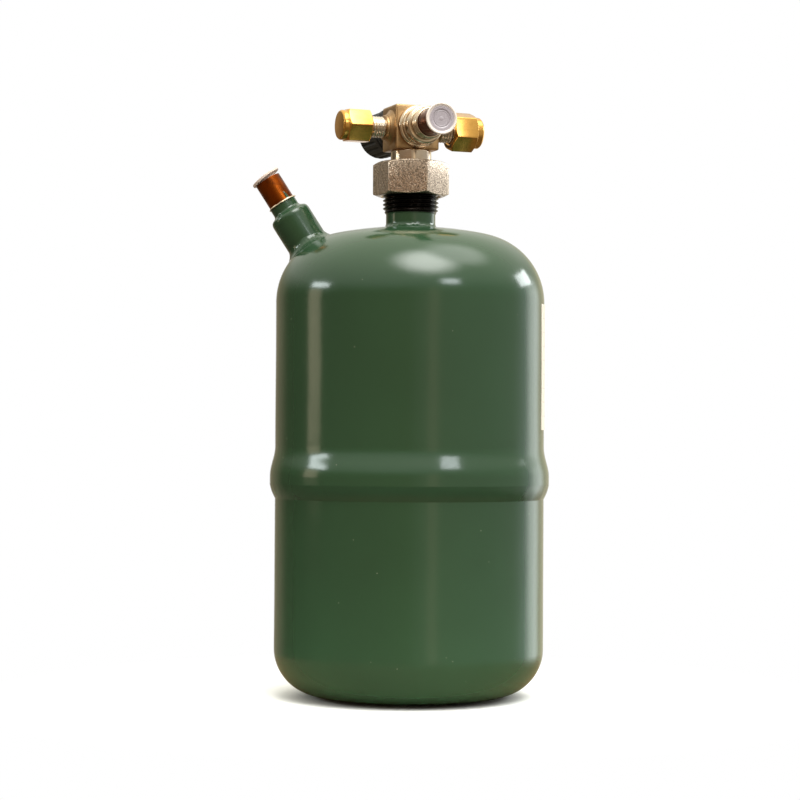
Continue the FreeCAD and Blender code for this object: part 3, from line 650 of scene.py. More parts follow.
def white_polyethylene(colours):
    """White polyethylene: waxy and even, with a dull sheen that keeps the lamps from glinting on its thin rim."""
    material, tree, shader = new_material("white_polyethylene")
    cloud = noise(tree, place_of(tree), 0.2, 2.0)
    base = hex_colour(colours.white_plug)
    body = mix_colour(tree, cloud, tuple(c * 0.9 for c in base[:3]) + (1.0,), base)
    fill(tree, shader, Base_Color=body, Roughness=ramp(tree, cloud, [(0.3, 0.60), (0.7, 0.72)]),
         Specular_IOR_Level=0.2)
    return material


def cloudy_polyethylene(colours, mouth):
    """Cloudy polyethylene: a pale rim, and a duller disc with faint rings painted as shade where the tube's dark bore
    lies behind the plastic.
    """
    material, tree, shader = new_material("cloudy_polyethylene")
    place = place_of(tree, OUTLET_WAY, mouth)
    radius, _ = distance_from_axis(tree, place)
    cloud = noise(tree, place, 0.35, 3.0)
    reach = maths(tree, "ADD", maths(tree, "DIVIDE", radius, 8.0), maths(tree, "MULTIPLY", cloud, 0.03))
    disc = hex_colour(colours.cloudy_plug)
    rim = hex_colour("E6DAD3")
    ring = tuple(c * 0.82 for c in disc[:3]) + (1.0,)
    # Painted shade: the darker disc and its fainter darker ring stand for the tube's dark bore seen through the
    # plastic
    body = ramp(tree, reach, [(0.10, disc), (0.40, disc), (0.45, ring), (0.50, disc), (0.68, disc), (0.76, rim)])
    fill(tree, shader, Base_Color=body, Roughness=ramp(tree, cloud, [(0.3, 0.24), (0.7, 0.34)]),
         Normal=bump(tree, cloud, 0.02))
    return material


def label_film():
    """White polyester label film with plain ruled lines, printed in pale grey."""
    material, tree, shader = new_material("polyester_label_film")
    sheet = add(tree, "ShaderNodeSeparateXYZ", {0: add(tree, "ShaderNodeTexCoord").outputs["UV"]})
    across, up = sheet.outputs[0], sheet.outputs[1]
    rows = maths(tree, "PINGPONG", maths(tree, "MULTIPLY", up, 9.0), 0.5)
    rules = maths(tree, "LESS_THAN", rows, 0.02)
    from_middle = [maths(tree, "ABSOLUTE", maths(tree, "SUBTRACT", part, 0.5)) for part in (across, up)]
    border = maths(tree, "GREATER_THAN", maths(tree, "MAXIMUM", *from_middle), 0.46)
    share = maths(tree, "MULTIPLY", maths(tree, "MULTIPLY", rules, maths(tree, "SUBTRACT", 1.0, border)), 0.6)
    paper = noise(tree, place_of(tree), 0.8, 3.0)
    fill(tree, shader, Base_Color=mix_colour(tree, share, hex_colour("E4DACE"), hex_colour("8F908C")),
         Roughness=ramp(tree, paper, [(0.3, 0.42), (0.7, 0.52)]), Normal=bump(tree, paper, 0.01))
    return material


_materials = {}


def material_for(name, maker):
    """The material of that name, made once."""
    if name not in _materials:
        _materials[name] = maker()
    return _materials[name]


def dress(piece, material, body, slot, *nodes):
    """Gives a piece its finish and the body it moves with, and hides the nodes it stands for. slot is not used."""
    piece.data.materials.append(material)
    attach(piece, body)
    if nodes:
        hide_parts(*nodes)
    return piece


def enamel(context):
    """The vessel's gloss enamel."""
    settings = context.scene
    return material_for("enamel", lambda: gloss_enamel(settings.receiver_colours, settings.receiver_sizes))


# Vessel

class RECEIVER_OT_vessel(bpy.types.Operator):
    """Makes the two drawn shells and the weld bead at their lap"""
    bl_idname = "receiver.vessel"
    bl_label = "Vessel shells and seam"

    def execute(self, context):
        around = context.scene.receiver_sizes.around
        ripple = context.scene.receiver_sizes.weld_ripple / MM
        paint = enamel(context)
        turn = angles(around)[None, :]
        rim = SEAM_HEIGHT + BELL_DEPTH - 0.6
        outer = dish(VESSEL_RADIUS, BASE_CROWN_RADIUS, BASE_KNUCKLE_RADIUS, BASE_FLAT_RADIUS, 0.0, False)
        inner = dish(VESSEL_RADIUS - SHELL_WALL, BASE_CROWN_RADIUS - SHELL_WALL,
                     BASE_KNUCKLE_RADIUS - SHELL_WALL, BASE_FLAT_RADIUS, SHELL_WALL, False, 12)
        wall = np.linspace(outer[-1, 1], rim, 40)[1:]
        side = np.stack([np.full(wall.shape, VESSEL_RADIUS), wall], axis=-1)
        path = np.vstack([[(0, 0)], outer, side, [(VESSEL_RADIUS - SHELL_WALL, rim)],
                          inner[::-1], [(0, SHELL_WALL)]])
        rings = revolve(path, around)
        self.dent(rings, turn, 5, 0.10)
        dress(skin("lower_shell_skin", rings), paint, "receiver", "green_enamel", "lower_shell")

        low = SEAM_HEIGHT
        taper = SEAM_HEIGHT + BELL_DEPTH
        outside = self.bell(BELL_RADIUS, VESSEL_RADIUS, low, low + 3.35, BELL_TAPER + 1.0)
        inside = self.bell(BELL_RADIUS - SHELL_WALL, VESSEL_RADIUS - SHELL_WALL, low, taper, BELL_TAPER)
        top = dish(VESSEL_RADIUS, TOP_CROWN_RADIUS, TOP_KNUCKLE_RADIUS, NECK_RADIUS,
                   crown_height(NECK_RADIUS), True, 40)
        under = dish(VESSEL_RADIUS - SHELL_WALL, TOP_CROWN_RADIUS - SHELL_WALL,
                     TOP_KNUCKLE_RADIUS - SHELL_WALL, NECK_RADIUS, crown_height(NECK_RADIUS, SHELL_WALL), True, 12)
        wall = np.linspace(outside[-1, 1], KNUCKLE_HEIGHT, 40)[1:-1]
        side = np.stack([np.full(wall.shape, VESSEL_RADIUS), wall], axis=-1)
        path = np.vstack([outside, side, top[::-1], under, inside[::-1]])
        rings = revolve(path, around)
        self.dent(rings, turn, 8, 0.12)
        dress(skin("upper_shell_skin", rings, loop=True), paint, "receiver", "green_enamel", "upper_shell")

        share = np.linspace(0, 1, 14)
        foot = SEAM_HEIGHT - WELD_HEIGHT
        swell = 0.3 * np.sin(math.pi * share)
        bead = np.stack([VESSEL_RADIUS + (BELL_RADIUS - VESSEL_RADIUS) * share + swell,
                         foot + WELD_HEIGHT * share], axis=-1)
        path = np.vstack([bead, [(VESSEL_RADIUS - 0.05, SEAM_HEIGHT)], [(VESSEL_RADIUS - 0.05, foot - 0.1)]])
        rings = revolve(path, around)
        wave = smooth_noise(turn * 9, 0 * turn, 21)
        lift = np.zeros(len(path))
        lift[:14] = np.sin(math.pi * share) ** 0.7
        push = ripple * wave * lift[:, None]
        rings[..., 0] += push * np.cos(turn)
        rings[..., 1] += push * np.sin(turn)
        dress(skin("seam_weld_bead", rings, loop=True), paint, "receiver", "green_enamel", "shell_weld")
        return {"FINISHED"}

    def bell(self, bell_radius, radius, low, taper_low, taper_height):
        """Outline up the belled mouth: straight, then a cosine run from one radius to the other."""
        share = np.linspace(0, 1, 26)
        run = radius + (bell_radius - radius) * (0.5 + 0.5 * np.cos(math.pi * share))
        taper = np.stack([run, taper_low + taper_height * share], axis=-1)
        straight = np.stack([np.full(10, bell_radius), np.linspace(low, taper_low, 10)], axis=-1)
        return np.vstack([straight[:-1], taper])

    def dent(self, rings, turn, seed, depth):
        """Draws the rings in by a soft unevenness of up to depth, as a drawn shell has."""
        height = rings[:, :1, 2]
        pull = depth * (smooth_noise(turn, height, seed) - 1.0) / 2
        radius = np.maximum(np.hypot(rings[..., 0], rings[..., 1]), 1e-6)
        fade = np.clip((radius - 20.0) / 20.0, 0, 1)
        scale = 1 + pull * fade / radius
        rings[..., 0] *= scale
        rings[..., 1] *= scale


class RECEIVER_OT_label(bpy.types.Operator):
    """Makes the film label on the right side of the vessel"""
    bl_idname = "receiver.label"
    bl_label = "Label"

    def execute(self, context):
        across, up = np.meshgrid(np.linspace(0, 1, 60), np.linspace(0, 1, 24), indexing="ij")
        edge = np.minimum(np.minimum(across, 1 - across) * 20, np.minimum(up, 1 - up) * 20)
        lift = 0.10 * np.exp(-edge * 2) * (0.5 + 0.5 * np.sin(9 * across + 5 * up))
        radius = VESSEL_RADIUS - 0.12 + lift
        turn = LABEL_START + LABEL_SWEEP * across
        height = LABEL_BASE + (LABEL_TOP - LABEL_BASE) * up
        outer = np.stack([(radius + 0.25) * np.cos(turn), (radius + 0.25) * np.sin(turn), height], axis=-1)
        inner = np.stack([radius * np.cos(turn), radius * np.sin(turn), height], axis=-1)
        points = np.vstack([outer.reshape(-1, 3), inner.reshape(-1, 3)])
        faces = sheet_faces(across.shape)
        piece = mesh_object("label_film_patch", points * MM, faces.tolist())
        chart = piece.data.uv_layers.new(name="UVMap")
        flat = np.stack([across.ravel(), up.ravel()], axis=-1)
        corner = np.tile(flat, (2, 1))[faces.ravel()]
        chart.data.foreach_set("uv", corner.astype(np.float32).ravel())
        dress(piece, material_for("label", label_film), "receiver", "label_film", "label")
        return {"FINISHED"}


# Neck and union joint

def thread_rings(radius, depth, pitch, low, high, bore, around=160, per_turn=22, runout=1.0):
    """Rings of a helical thread.

    At a height z and angle t the outside is the root radius plus depth times a
    trapezoid of the phase z / pitch - t / one turn, and both ends fade to the root
    over runout turns of height.
    """
    count = int((high - low) / pitch * per_turn)
    height = np.linspace(low, high, count)[:, None]
    turn = angles(around)[None, :]
    phase = (height / pitch - turn / (2 * math.pi)) % 1.0
    tooth = np.clip((0.5 - np.abs(phase - 0.5)) * 2.6 - 0.2, 0, 1)
    fade = np.clip(np.minimum((height - low), (high - height)) / (runout * pitch), 0, 1)
    outside = radius - depth + depth * tooth * fade
    wall = np.stack([outside * np.cos(turn), outside * np.sin(turn), height + 0 * turn], axis=-1)
    inner = revolve(np.array([[bore, high], [bore, low]]), around)
    return np.concatenate([wall, inner])


class RECEIVER_OT_neck(bpy.types.Operator):
    """Makes the painted neck, its weld fillet and the dark thread above it"""
    bl_idname = "receiver.neck"
    bl_label = "Neck, weld and thread"

    def execute(self, context):
        around = 160
        paint = enamel(context)
        groove = fillet_path([(NECK_BORE_RADIUS, 206.0, 0), (NECK_RADIUS, 206.0, 0), (NECK_RADIUS, 216.9, 0.3),
                              (NECK_RADIUS + 0.35, THREAD_BASE, 0.2), (NECK_RADIUS, THREAD_BASE + 0.3, 0),
                              (NECK_BORE_RADIUS, THREAD_BASE + 0.3, 0)])
        dress(skin("neck_painted", revolve(groove, around), loop=True), paint, "receiver", "green_enamel", "neck")
        dark = material_for("dark_thread", lambda: worked_metal(
            "phosphated_thread_steel", "1C1816", 0.2, marks_mm=0.5, dirt="12100E", dirt_share=0.8))
        rings = thread_rings(THREAD_RADIUS, THREAD_DEPTH, THREAD_PITCH, THREAD_BASE, THREAD_TOP, NECK_BORE_RADIUS)
        dress(skin("neck_thread", rings, loop=True), dark, "receiver", "painted_thread", "neck")
        self.fillet(context, paint, around)
        dress_node("dip_tube", "steel", context)
        return {"FINISHED"}

    def fillet(self, context, paint, around):
        """Weld fillet: a quarter of an ellipse that leaves the neck upright and meets the crown level."""
        ripple = context.scene.receiver_sizes.weld_ripple / MM
        share = np.linspace(0, math.pi / 2, 12)
        leg, rise = 2.0, 2.4
        radius = NECK_RADIUS + leg * (1 - np.sin(share))
        foot = crown_height(NECK_RADIUS + leg)
        height = foot + rise * (1 - np.cos(share))
        path = np.vstack([np.stack([radius, height], axis=-1), [(NECK_RADIUS - 0.05, height[-1])],
                          [(NECK_RADIUS - 0.05, foot - 0.3)], [(NECK_RADIUS + leg, foot - 0.15)]])
        rings = revolve(path, around)
        turn = angles(around)
        rings[:12, :, 2] += ripple * np.sin(24 * turn + 0.6 * np.sin(5 * turn)) * np.sin(2 * share)[:, None]
        dress(skin("neck_weld_fillet", rings, loop=True), paint, "receiver", "green_enamel", "neck_weld")


def dress_node(node, finish, context):
    """Gives a CAD node that stays as it is its worked-metal or moulded finish."""
    colours = context.scene.receiver_colours
    makers = {
        "steel": lambda: worked_metal("machined_steel", colours.turned_steel, 0.30, dirt="8A8274"),
        "polymer": lambda: moulded_plastic("moulded_seal_polymer", "E6E3DA", 0.4),
        "fibre": lambda: moulded_plastic("pressed_fibre", "2B2A28", 0.75, texture_mm=0.3, depth=0.04),
    }
    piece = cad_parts[node]
    piece.data.materials.clear()
    piece.data.materials.append(material_for("node_" + finish, makers[finish]))


def hex_rings(across_flats, low, high, chamfer_angle, corner_round, inset=0.4):
    """The four rings of a chamfered hexagon and its unit directions.

    The chamfer is a cone that starts at a circle just inside the flats, so on each
    corner the side starts higher than in the middle of a flat.
    """
    outline = hexagon_outline(across_flats, corner_round)
    reach = np.hypot(outline[:, 0], outline[:, 1])
    way = outline / reach[:, None]
    face_radius = across_flats / 2 - inset
    drop = (reach - face_radius) * math.tan(chamfer_angle)
    lower = np.column_stack([outline, low + drop])
    upper = np.column_stack([outline, high - drop])
    return way, face_radius, lower, upper


def circle(way, radius, height):
    """A ring of points of that radius and height in the given directions."""
    return np.column_stack([way * radius, np.full(len(way), height)])


class RECEIVER_OT_union_nut(bpy.types.Operator):
    """Makes the hexagon union nut and the tailpiece, and finishes the washer and seal between them"""
    bl_idname = "receiver.union_nut"
    bl_label = "Union nut and tailpiece"

    def execute(self, context):
        colours, sizes = context.scene.receiver_colours, context.scene.receiver_sizes
        ease = sizes.edge_round / MM
        way, face, lower, upper = hex_rings(NUT_ACROSS_FLATS, NUT_BASE, NUT_TOP, NUT_CHAMFER, 0.7)
        bore = THREAD_RADIUS + 0.3
        hole = TAILPIECE_RADIUS + 0.25
        rings = [circle(way, bore, NUT_BASE + 0.8), circle(way, bore + 0.8, NUT_BASE), circle(way, face, NUT_BASE),
                 lower, upper, circle(way, face, NUT_TOP), circle(way, hole + 0.5, NUT_TOP),
                 circle(way, hole, NUT_TOP - 0.5), circle(way, hole, NUT_SHOULDER), circle(way, bore, NUT_SHOULDER)]
        rings.append(rings[0])
        eased = ease_rings(rings, [ease] * len(rings))[:-1]
        spin = np.array(Matrix.Rotation(NUT_TURN, 3, "Z"))
        zinc = material_for("zinc", lambda: zinc_plating(colours, sizes))
        dress(skin("union_nut_hexagon", eased @ spin.T, loop=True), zinc, "union_nut", "zinc_steel", "union_nut")
        turned = material_for("tailpiece", lambda: worked_metal(
            "turned_plated_steel", "D0C0AE", 0.11, (0, 0, 1), (0, 0, 0), dirt="A98E74"))
        base, top = TAILPIECE_BASE, BLOCK_BASE + 4.0
        path = fillet_path([
            (4.0, base, 0), (10.75, base, 0.3), (10.75, base + 2.6, 0.3), (TAILPIECE_RADIUS, base + 2.6, 0),
            (TAILPIECE_RADIUS, BLOCK_BASE - 0.45, 0.15), (TAILPIECE_RADIUS - 0.35, BLOCK_BASE, 0.1),
            (7.4, BLOCK_BASE, 0), (7.4, top, 0), (4.0, top, 0)])
        dress(skin("tailpiece_turned", revolve(path, 128), loop=True), turned, "receiver", "turned_steel", "tailpiece")
        dress_node("thrust_washer", "steel", context)
        dress_node("union_seal", "polymer", context)
        return {"FINISHED"}


# Valve

def body_nickel(colours):
    """The satin nickel plating of the valve body."""
    return material_for("nickel", lambda: worked_metal(
        "satin_nickel_plating", colours.nickel, 0.30, OUTLET_WAY, BLOCK_MIDDLE, 0.3, 0.012, "6E5A42", 0.6, 5.0))


class RECEIVER_OT_valve_body(bpy.types.Operator):
    """Makes the square valve body with its outlet nose and stem boss"""
    bl_idname = "receiver.valve_body"
    bl_label = "Valve body"

    def execute(self, context):
        colours = context.scene.receiver_colours
        satin = body_nickel(colours)
        half = (BLOCK_WIDTH / 2, BLOCK_HEIGHT / 2)
        bar = rounded_box("valve_bar", (-half[0], -half[1], -BLOCK_BACK), (half[0], half[1], BLOCK_FRONT),
                          0.7, upright_turn(OUTLET_WAY), BLOCK_MIDDLE)
        dress(bar, satin, "receiver", "nickel_body", "valve_block")
        bright = material_for("outlet_nose", lambda: worked_metal(
            "bright_turned_nose", "D6C4AC", 0.14, OUTLET_WAY, BLOCK_MIDDLE, 0.3, 0.01, "9B8468", 0.5))
        nose = fillet_path([
            (0, 6.0, 0), (9.6, 6.0, 0), (9.6, 10.0, 0.35), (9.0, 10.6, 0.3), (8.6, 10.6, 0.1), (8.6, 12.2, 0.2),
            (8.15, 12.6, 0.2), (8.15, 13.4, 0.2), (8.6, 13.8, 0.2), (8.6, 16.8, 0.3), (7.9, 17.4, 0.3),
            (7.1, 17.4, 0.1), (7.1, 20.2, 0.2), (6.75, 20.6, 0.15), (6.75, 21.4, 0.15), (7.1, 21.8, 0.2),
            (7.1, OUTLET_END - 0.6, 0.3), (6.6, OUTLET_END, 0.2), (6.05, OUTLET_END, 0.1), (6.05, 16.0, 0),
            (0, 16.0, 0)])
        dress(skin("outlet_nose", placed(revolve(nose, 144), OUTLET_WAY, BLOCK_MIDDLE)), bright,
              "receiver", "nickel_body", "valve_block")
        boss = fillet_path([(0, 7.0, 0), (9.3, 7.0, 0), (9.3, 16.4, 0.4), (8.7, 17.0, 0.3), (7.85, 17.0, 0),
                            (7.85, 17.1, 0), (5.6, 17.1, 0), (0, 17.05, 0)])
        dress(skin("stem_boss", placed(revolve(boss, 128), -OUTLET_WAY, STEM_MIDDLE)), satin,
              "receiver", "nickel_body", "valve_block")
        rings = thread_rings(8.2, 0.35, 1.25, 16.8, STEM_NOSE_END, 5.6, 128, 14, 0.6)
        dress(skin("stem_nose_thread", placed(rings, -OUTLET_WAY, STEM_MIDDLE), loop=True), bright,
              "receiver", "nickel_body", "valve_block")
        for node in ("stem", "stem_disc", "gland_washer", "gland_nut"):
            dress_node(node, "steel", context)
        for node in ("stem_packing", "stem_cap_gasket"):
            dress_node(node, "fibre", context)
        return {"FINISHED"}


class RECEIVER_OT_stem_cap(bpy.types.Operator):
    """Makes the black ribbed cap over the valve stem"""
    bl_idname = "receiver.stem_cap"
    bl_label = "Stem cap"

    def execute(self, context):
        colours = context.scene.receiver_colours
        rim, side = 10.98, 10.48
        low = STEM_CAP_START
        high = low + STEM_CAP_LENGTH
        path = fillet_path([
            (0, high - 3.0, 0), (6.4, high - 3.0, 0.4), (6.4, low + 9.6, 0.2), (8.5, low + 9.6, 0.2), (8.5, low, 0.2),
            (rim, low, 0.3), (rim, low + 3.2, 0.3), (side, low + 3.9, 0.2), (side, low + 4.6, 0), (side, low + 7.0, 0),
            (side, low + 10.0, 0), (side, low + 13.0, 0), (side, low + 16.0, 0), (side, high - 2.6, 0),
            (side, high, 3.0), (7.6, high, 0), (7.0, high - 0.35, 0.2), (0, high - 0.35, 0)], 7)
        rings = revolve(path, 240)
        turn = angles(240)[None, :]
        height = rings[:, :1, 2]
        radius = np.hypot(rings[..., 0], rings[..., 1])
        rib = 0.5 - 0.5 * np.cos(20 * turn)
        zone = np.clip((height - low - 3.9) / 0.6, 0, 1) * np.clip((high - 0.6 - height) / 2.0, 0, 1)
        pull = 0.85 * rib ** 3 * zone * (radius > 8.8)
        scale = 1 - pull / np.maximum(radius, 1e-6)
        rings[..., 0] *= scale
        rings[..., 1] *= scale
        black = material_for("black_cap", lambda: moulded_plastic(
            "moulded_black_nylon", colours.black_cap, 0.6, texture_mm=0.5, depth=0.02))
        dress(skin("stem_cap_ribbed", placed(rings, -OUTLET_WAY, STEM_MIDDLE)), black,
              "stem_cap", "black_cap", "stem_cap")
        return {"FINISHED"}


class RECEIVER_OT_ports(bpy.types.Operator):
    """Makes the two service ports, their brass caps and seals"""
    bl_idname = "receiver.ports"
    bl_label = "Service ports and caps"

    def execute(self, context):
        colours = context.scene.receiver_colours
        satin = body_nickel(colours)
        # side, way, port radius, port end, across flats, cap start, hexagon length, cap length, end radius, turn
        sides = [
            ("left", -RIGHT_WAY, 4.75, 28.4, 14.0, 20.8, 11.2, 13.8, 6.7, -11.2),
            ("right", RIGHT_WAY, 5.3, 27.0, 16.0, 18.6, 11.5, 14.7, 7.1, 13.8),
        ]
        for side, way, radius, end, flats, start, hex_length, length, knob, spin in sides:
            bright = worked_metal("turned_port_steel_" + side, colours.turned_steel, 0.18, way, BLOCK_MIDDLE,
                                  0.3, 0.01, "A08A6C", 0.4)
            self.port(side, way, radius, end, satin, bright)
            brass = worked_metal("polished_brass_" + side, colours.brass, 0.16, way, BLOCK_MIDDLE,
                                 0.4, 0.006, "8A5A24", 0.45, 7.0)
            self.cap(context, side, way, radius, end, flats, start, hex_length, length, knob, spin, brass)
            dress_node(side + "_cap_seal", "polymer", context)
        return {"FINISHED"}

    def port(self, side, way, radius, end, satin, bright):
        """Flared collar on the body, then a nipple whose ridges follow a fine thread."""
        face = BLOCK_WIDTH / 2
        shoulder = face + 3.3
        collar = fillet_path([(1.5, face - 4.0, 0), (4.0, face - 4.0, 0), (4.0, face - 0.1, 0), (8.2, face - 0.1, 0),
                              (6.9, face + 0.5, 0.8), (6.2, face + 1.3, 0.7), (5.9, face + 1.9, 0.2),
                              (5.55, face + 2.1, 0.15), (5.55, shoulder - 0.35, 0.2), (5.1, shoulder, 0.2),
                              (1.5, shoulder, 0)])
        piece = skin(side + "_port_collar", placed(revolve(collar, 112), way, BLOCK_MIDDLE), loop=True)
        dress(piece, satin, "receiver", "turned_steel", side + "_port")
        rings = thread_rings(radius, 0.35, 1.27, shoulder - 0.2, end, 1.5, 112, 14, 0.5)
        piece = skin(side + "_port_nipple", placed(rings, way, BLOCK_MIDDLE), loop=True)
        dress(piece, bright, "receiver", "turned_steel", side + "_port")

    def cap(self, context, side, way, radius, end, flats, start, hex_length, length, knob, spin, finish):
        """Hexagon with a turned end: rings of circles and hexagons joined along the axis."""
        ease = context.scene.receiver_sizes.edge_round / MM
        hex_end = start + hex_length
        cap_end = start + length
        dirs, face, lower, upper = hex_rings(flats, start, hex_end, math.radians(30), 0.5)
        bore = radius + 0.3
        floor = end + 1.0
        rings = [circle(dirs, 0, floor), circle(dirs, bore, floor), circle(dirs, bore, start + 0.5),
                 circle(dirs, bore + 0.5, start), circle(dirs, face, start), lower, upper,
                 circle(dirs, min(face, knob + 0.15), hex_end), circle(dirs, knob, hex_end + 0.3),
                 circle(dirs, knob, cap_end - 0.7), circle(dirs, knob - 0.6, cap_end), circle(dirs, 0, cap_end)]
        eased = ease_rings(rings, [ease] * len(rings))
        body = side + "_cap"
        piece = skin(side + "_cap_hexagon", placed(eased, way, BLOCK_MIDDLE, math.radians(spin)))
        dress(piece, finish, body, "bare_brass", body)


# Tubes, plugs and inlet stub

def pipe_path(radius, wall, low, high):
    """Outline of a pipe with eased ends."""
    inner = radius - wall
    return fillet_path([(inner, low, 0), (radius, low, 0), (radius, high - 0.3, 0), (radius, high, 0.25),
                        (inner, high, 0.25), (inner, high - 0.6, 0), (inner, low + 0.1, 0)])


def plug_points(mouth, way, lifted):
    """Points of a push-in plug: a flange with a raised rim, a dished face and a tapered stem.

    It is cocked about the low side of its flange, which still rests on the tube.
    """
    gap, thick, rim = 0.1, 0.8, 0.4
    face = gap + thick
    path = fillet_path([
        (0, -6.5, 0), (3.7, -6.5, 0.3), (4.05, -6.0, 0.2), (4.65, gap, 0.1), (PLUG_FLANGE_RADIUS, gap, 0.3),
        (PLUG_FLANGE_RADIUS, face + rim, 0.3), (6.3, face + rim, 0.2), (5.7, face, 0.3), (4.3, face, 0.2),
        (3.9, face - 0.25, 0.2), (3.6, face - 0.3, 0.1), (3.4, face - 0.2, 0.1), (3.2, face - 0.3, 0.1),
        (0.9, face - 0.3, 0.1), (0.6, face - 0.2, 0.1), (0, face - 0.2, 0)])
    points = placed(revolve(path, 192), way, mouth)
    pivot = mouth - lifted * PLUG_FLANGE_RADIUS
    hinge = Vector(np.cross(way, lifted))
    tilt = np.array(Matrix.Rotation(-PLUG_TILT, 3, hinge))
    return (points - pivot) @ tilt.T + pivot


class RECEIVER_OT_outlet(bpy.types.Operator):
    """Makes the outlet's copper tube and its cloudy plug"""
    bl_idname = "receiver.outlet"
    bl_label = "Outlet tube and plug"

    def execute(self, context):
        colours = context.scene.receiver_colours
        copper = material_for("outlet_copper", lambda: worked_metal(
            "heat_darkened_copper", "6B3214", 0.24, OUTLET_WAY, BLOCK_MIDDLE, 0.5, 0.006, "24100A", 0.9, 4.0))
        path = pipe_path(TUBE_RADIUS, TUBE_WALL, 16.2, OUTLET_TUBE_END)
        dress(skin("outlet_copper_tube", placed(revolve(path, 112), OUTLET_WAY, BLOCK_MIDDLE), loop=True), copper,
              "receiver", "copper_tube", "outlet_tube")
        mouth = BLOCK_MIDDLE + OUTLET_WAY * OUTLET_TUBE_END
        cloudy = material_for("cloudy_plug", lambda: cloudy_polyethylene(colours, mouth))
        dress(skin("outlet_plug_cloudy", plug_points(mouth, OUTLET_WAY, RIGHT_WAY)), cloudy,
              "outlet_plug", "clear_plug", "outlet_plug")
        return {"FINISHED"}


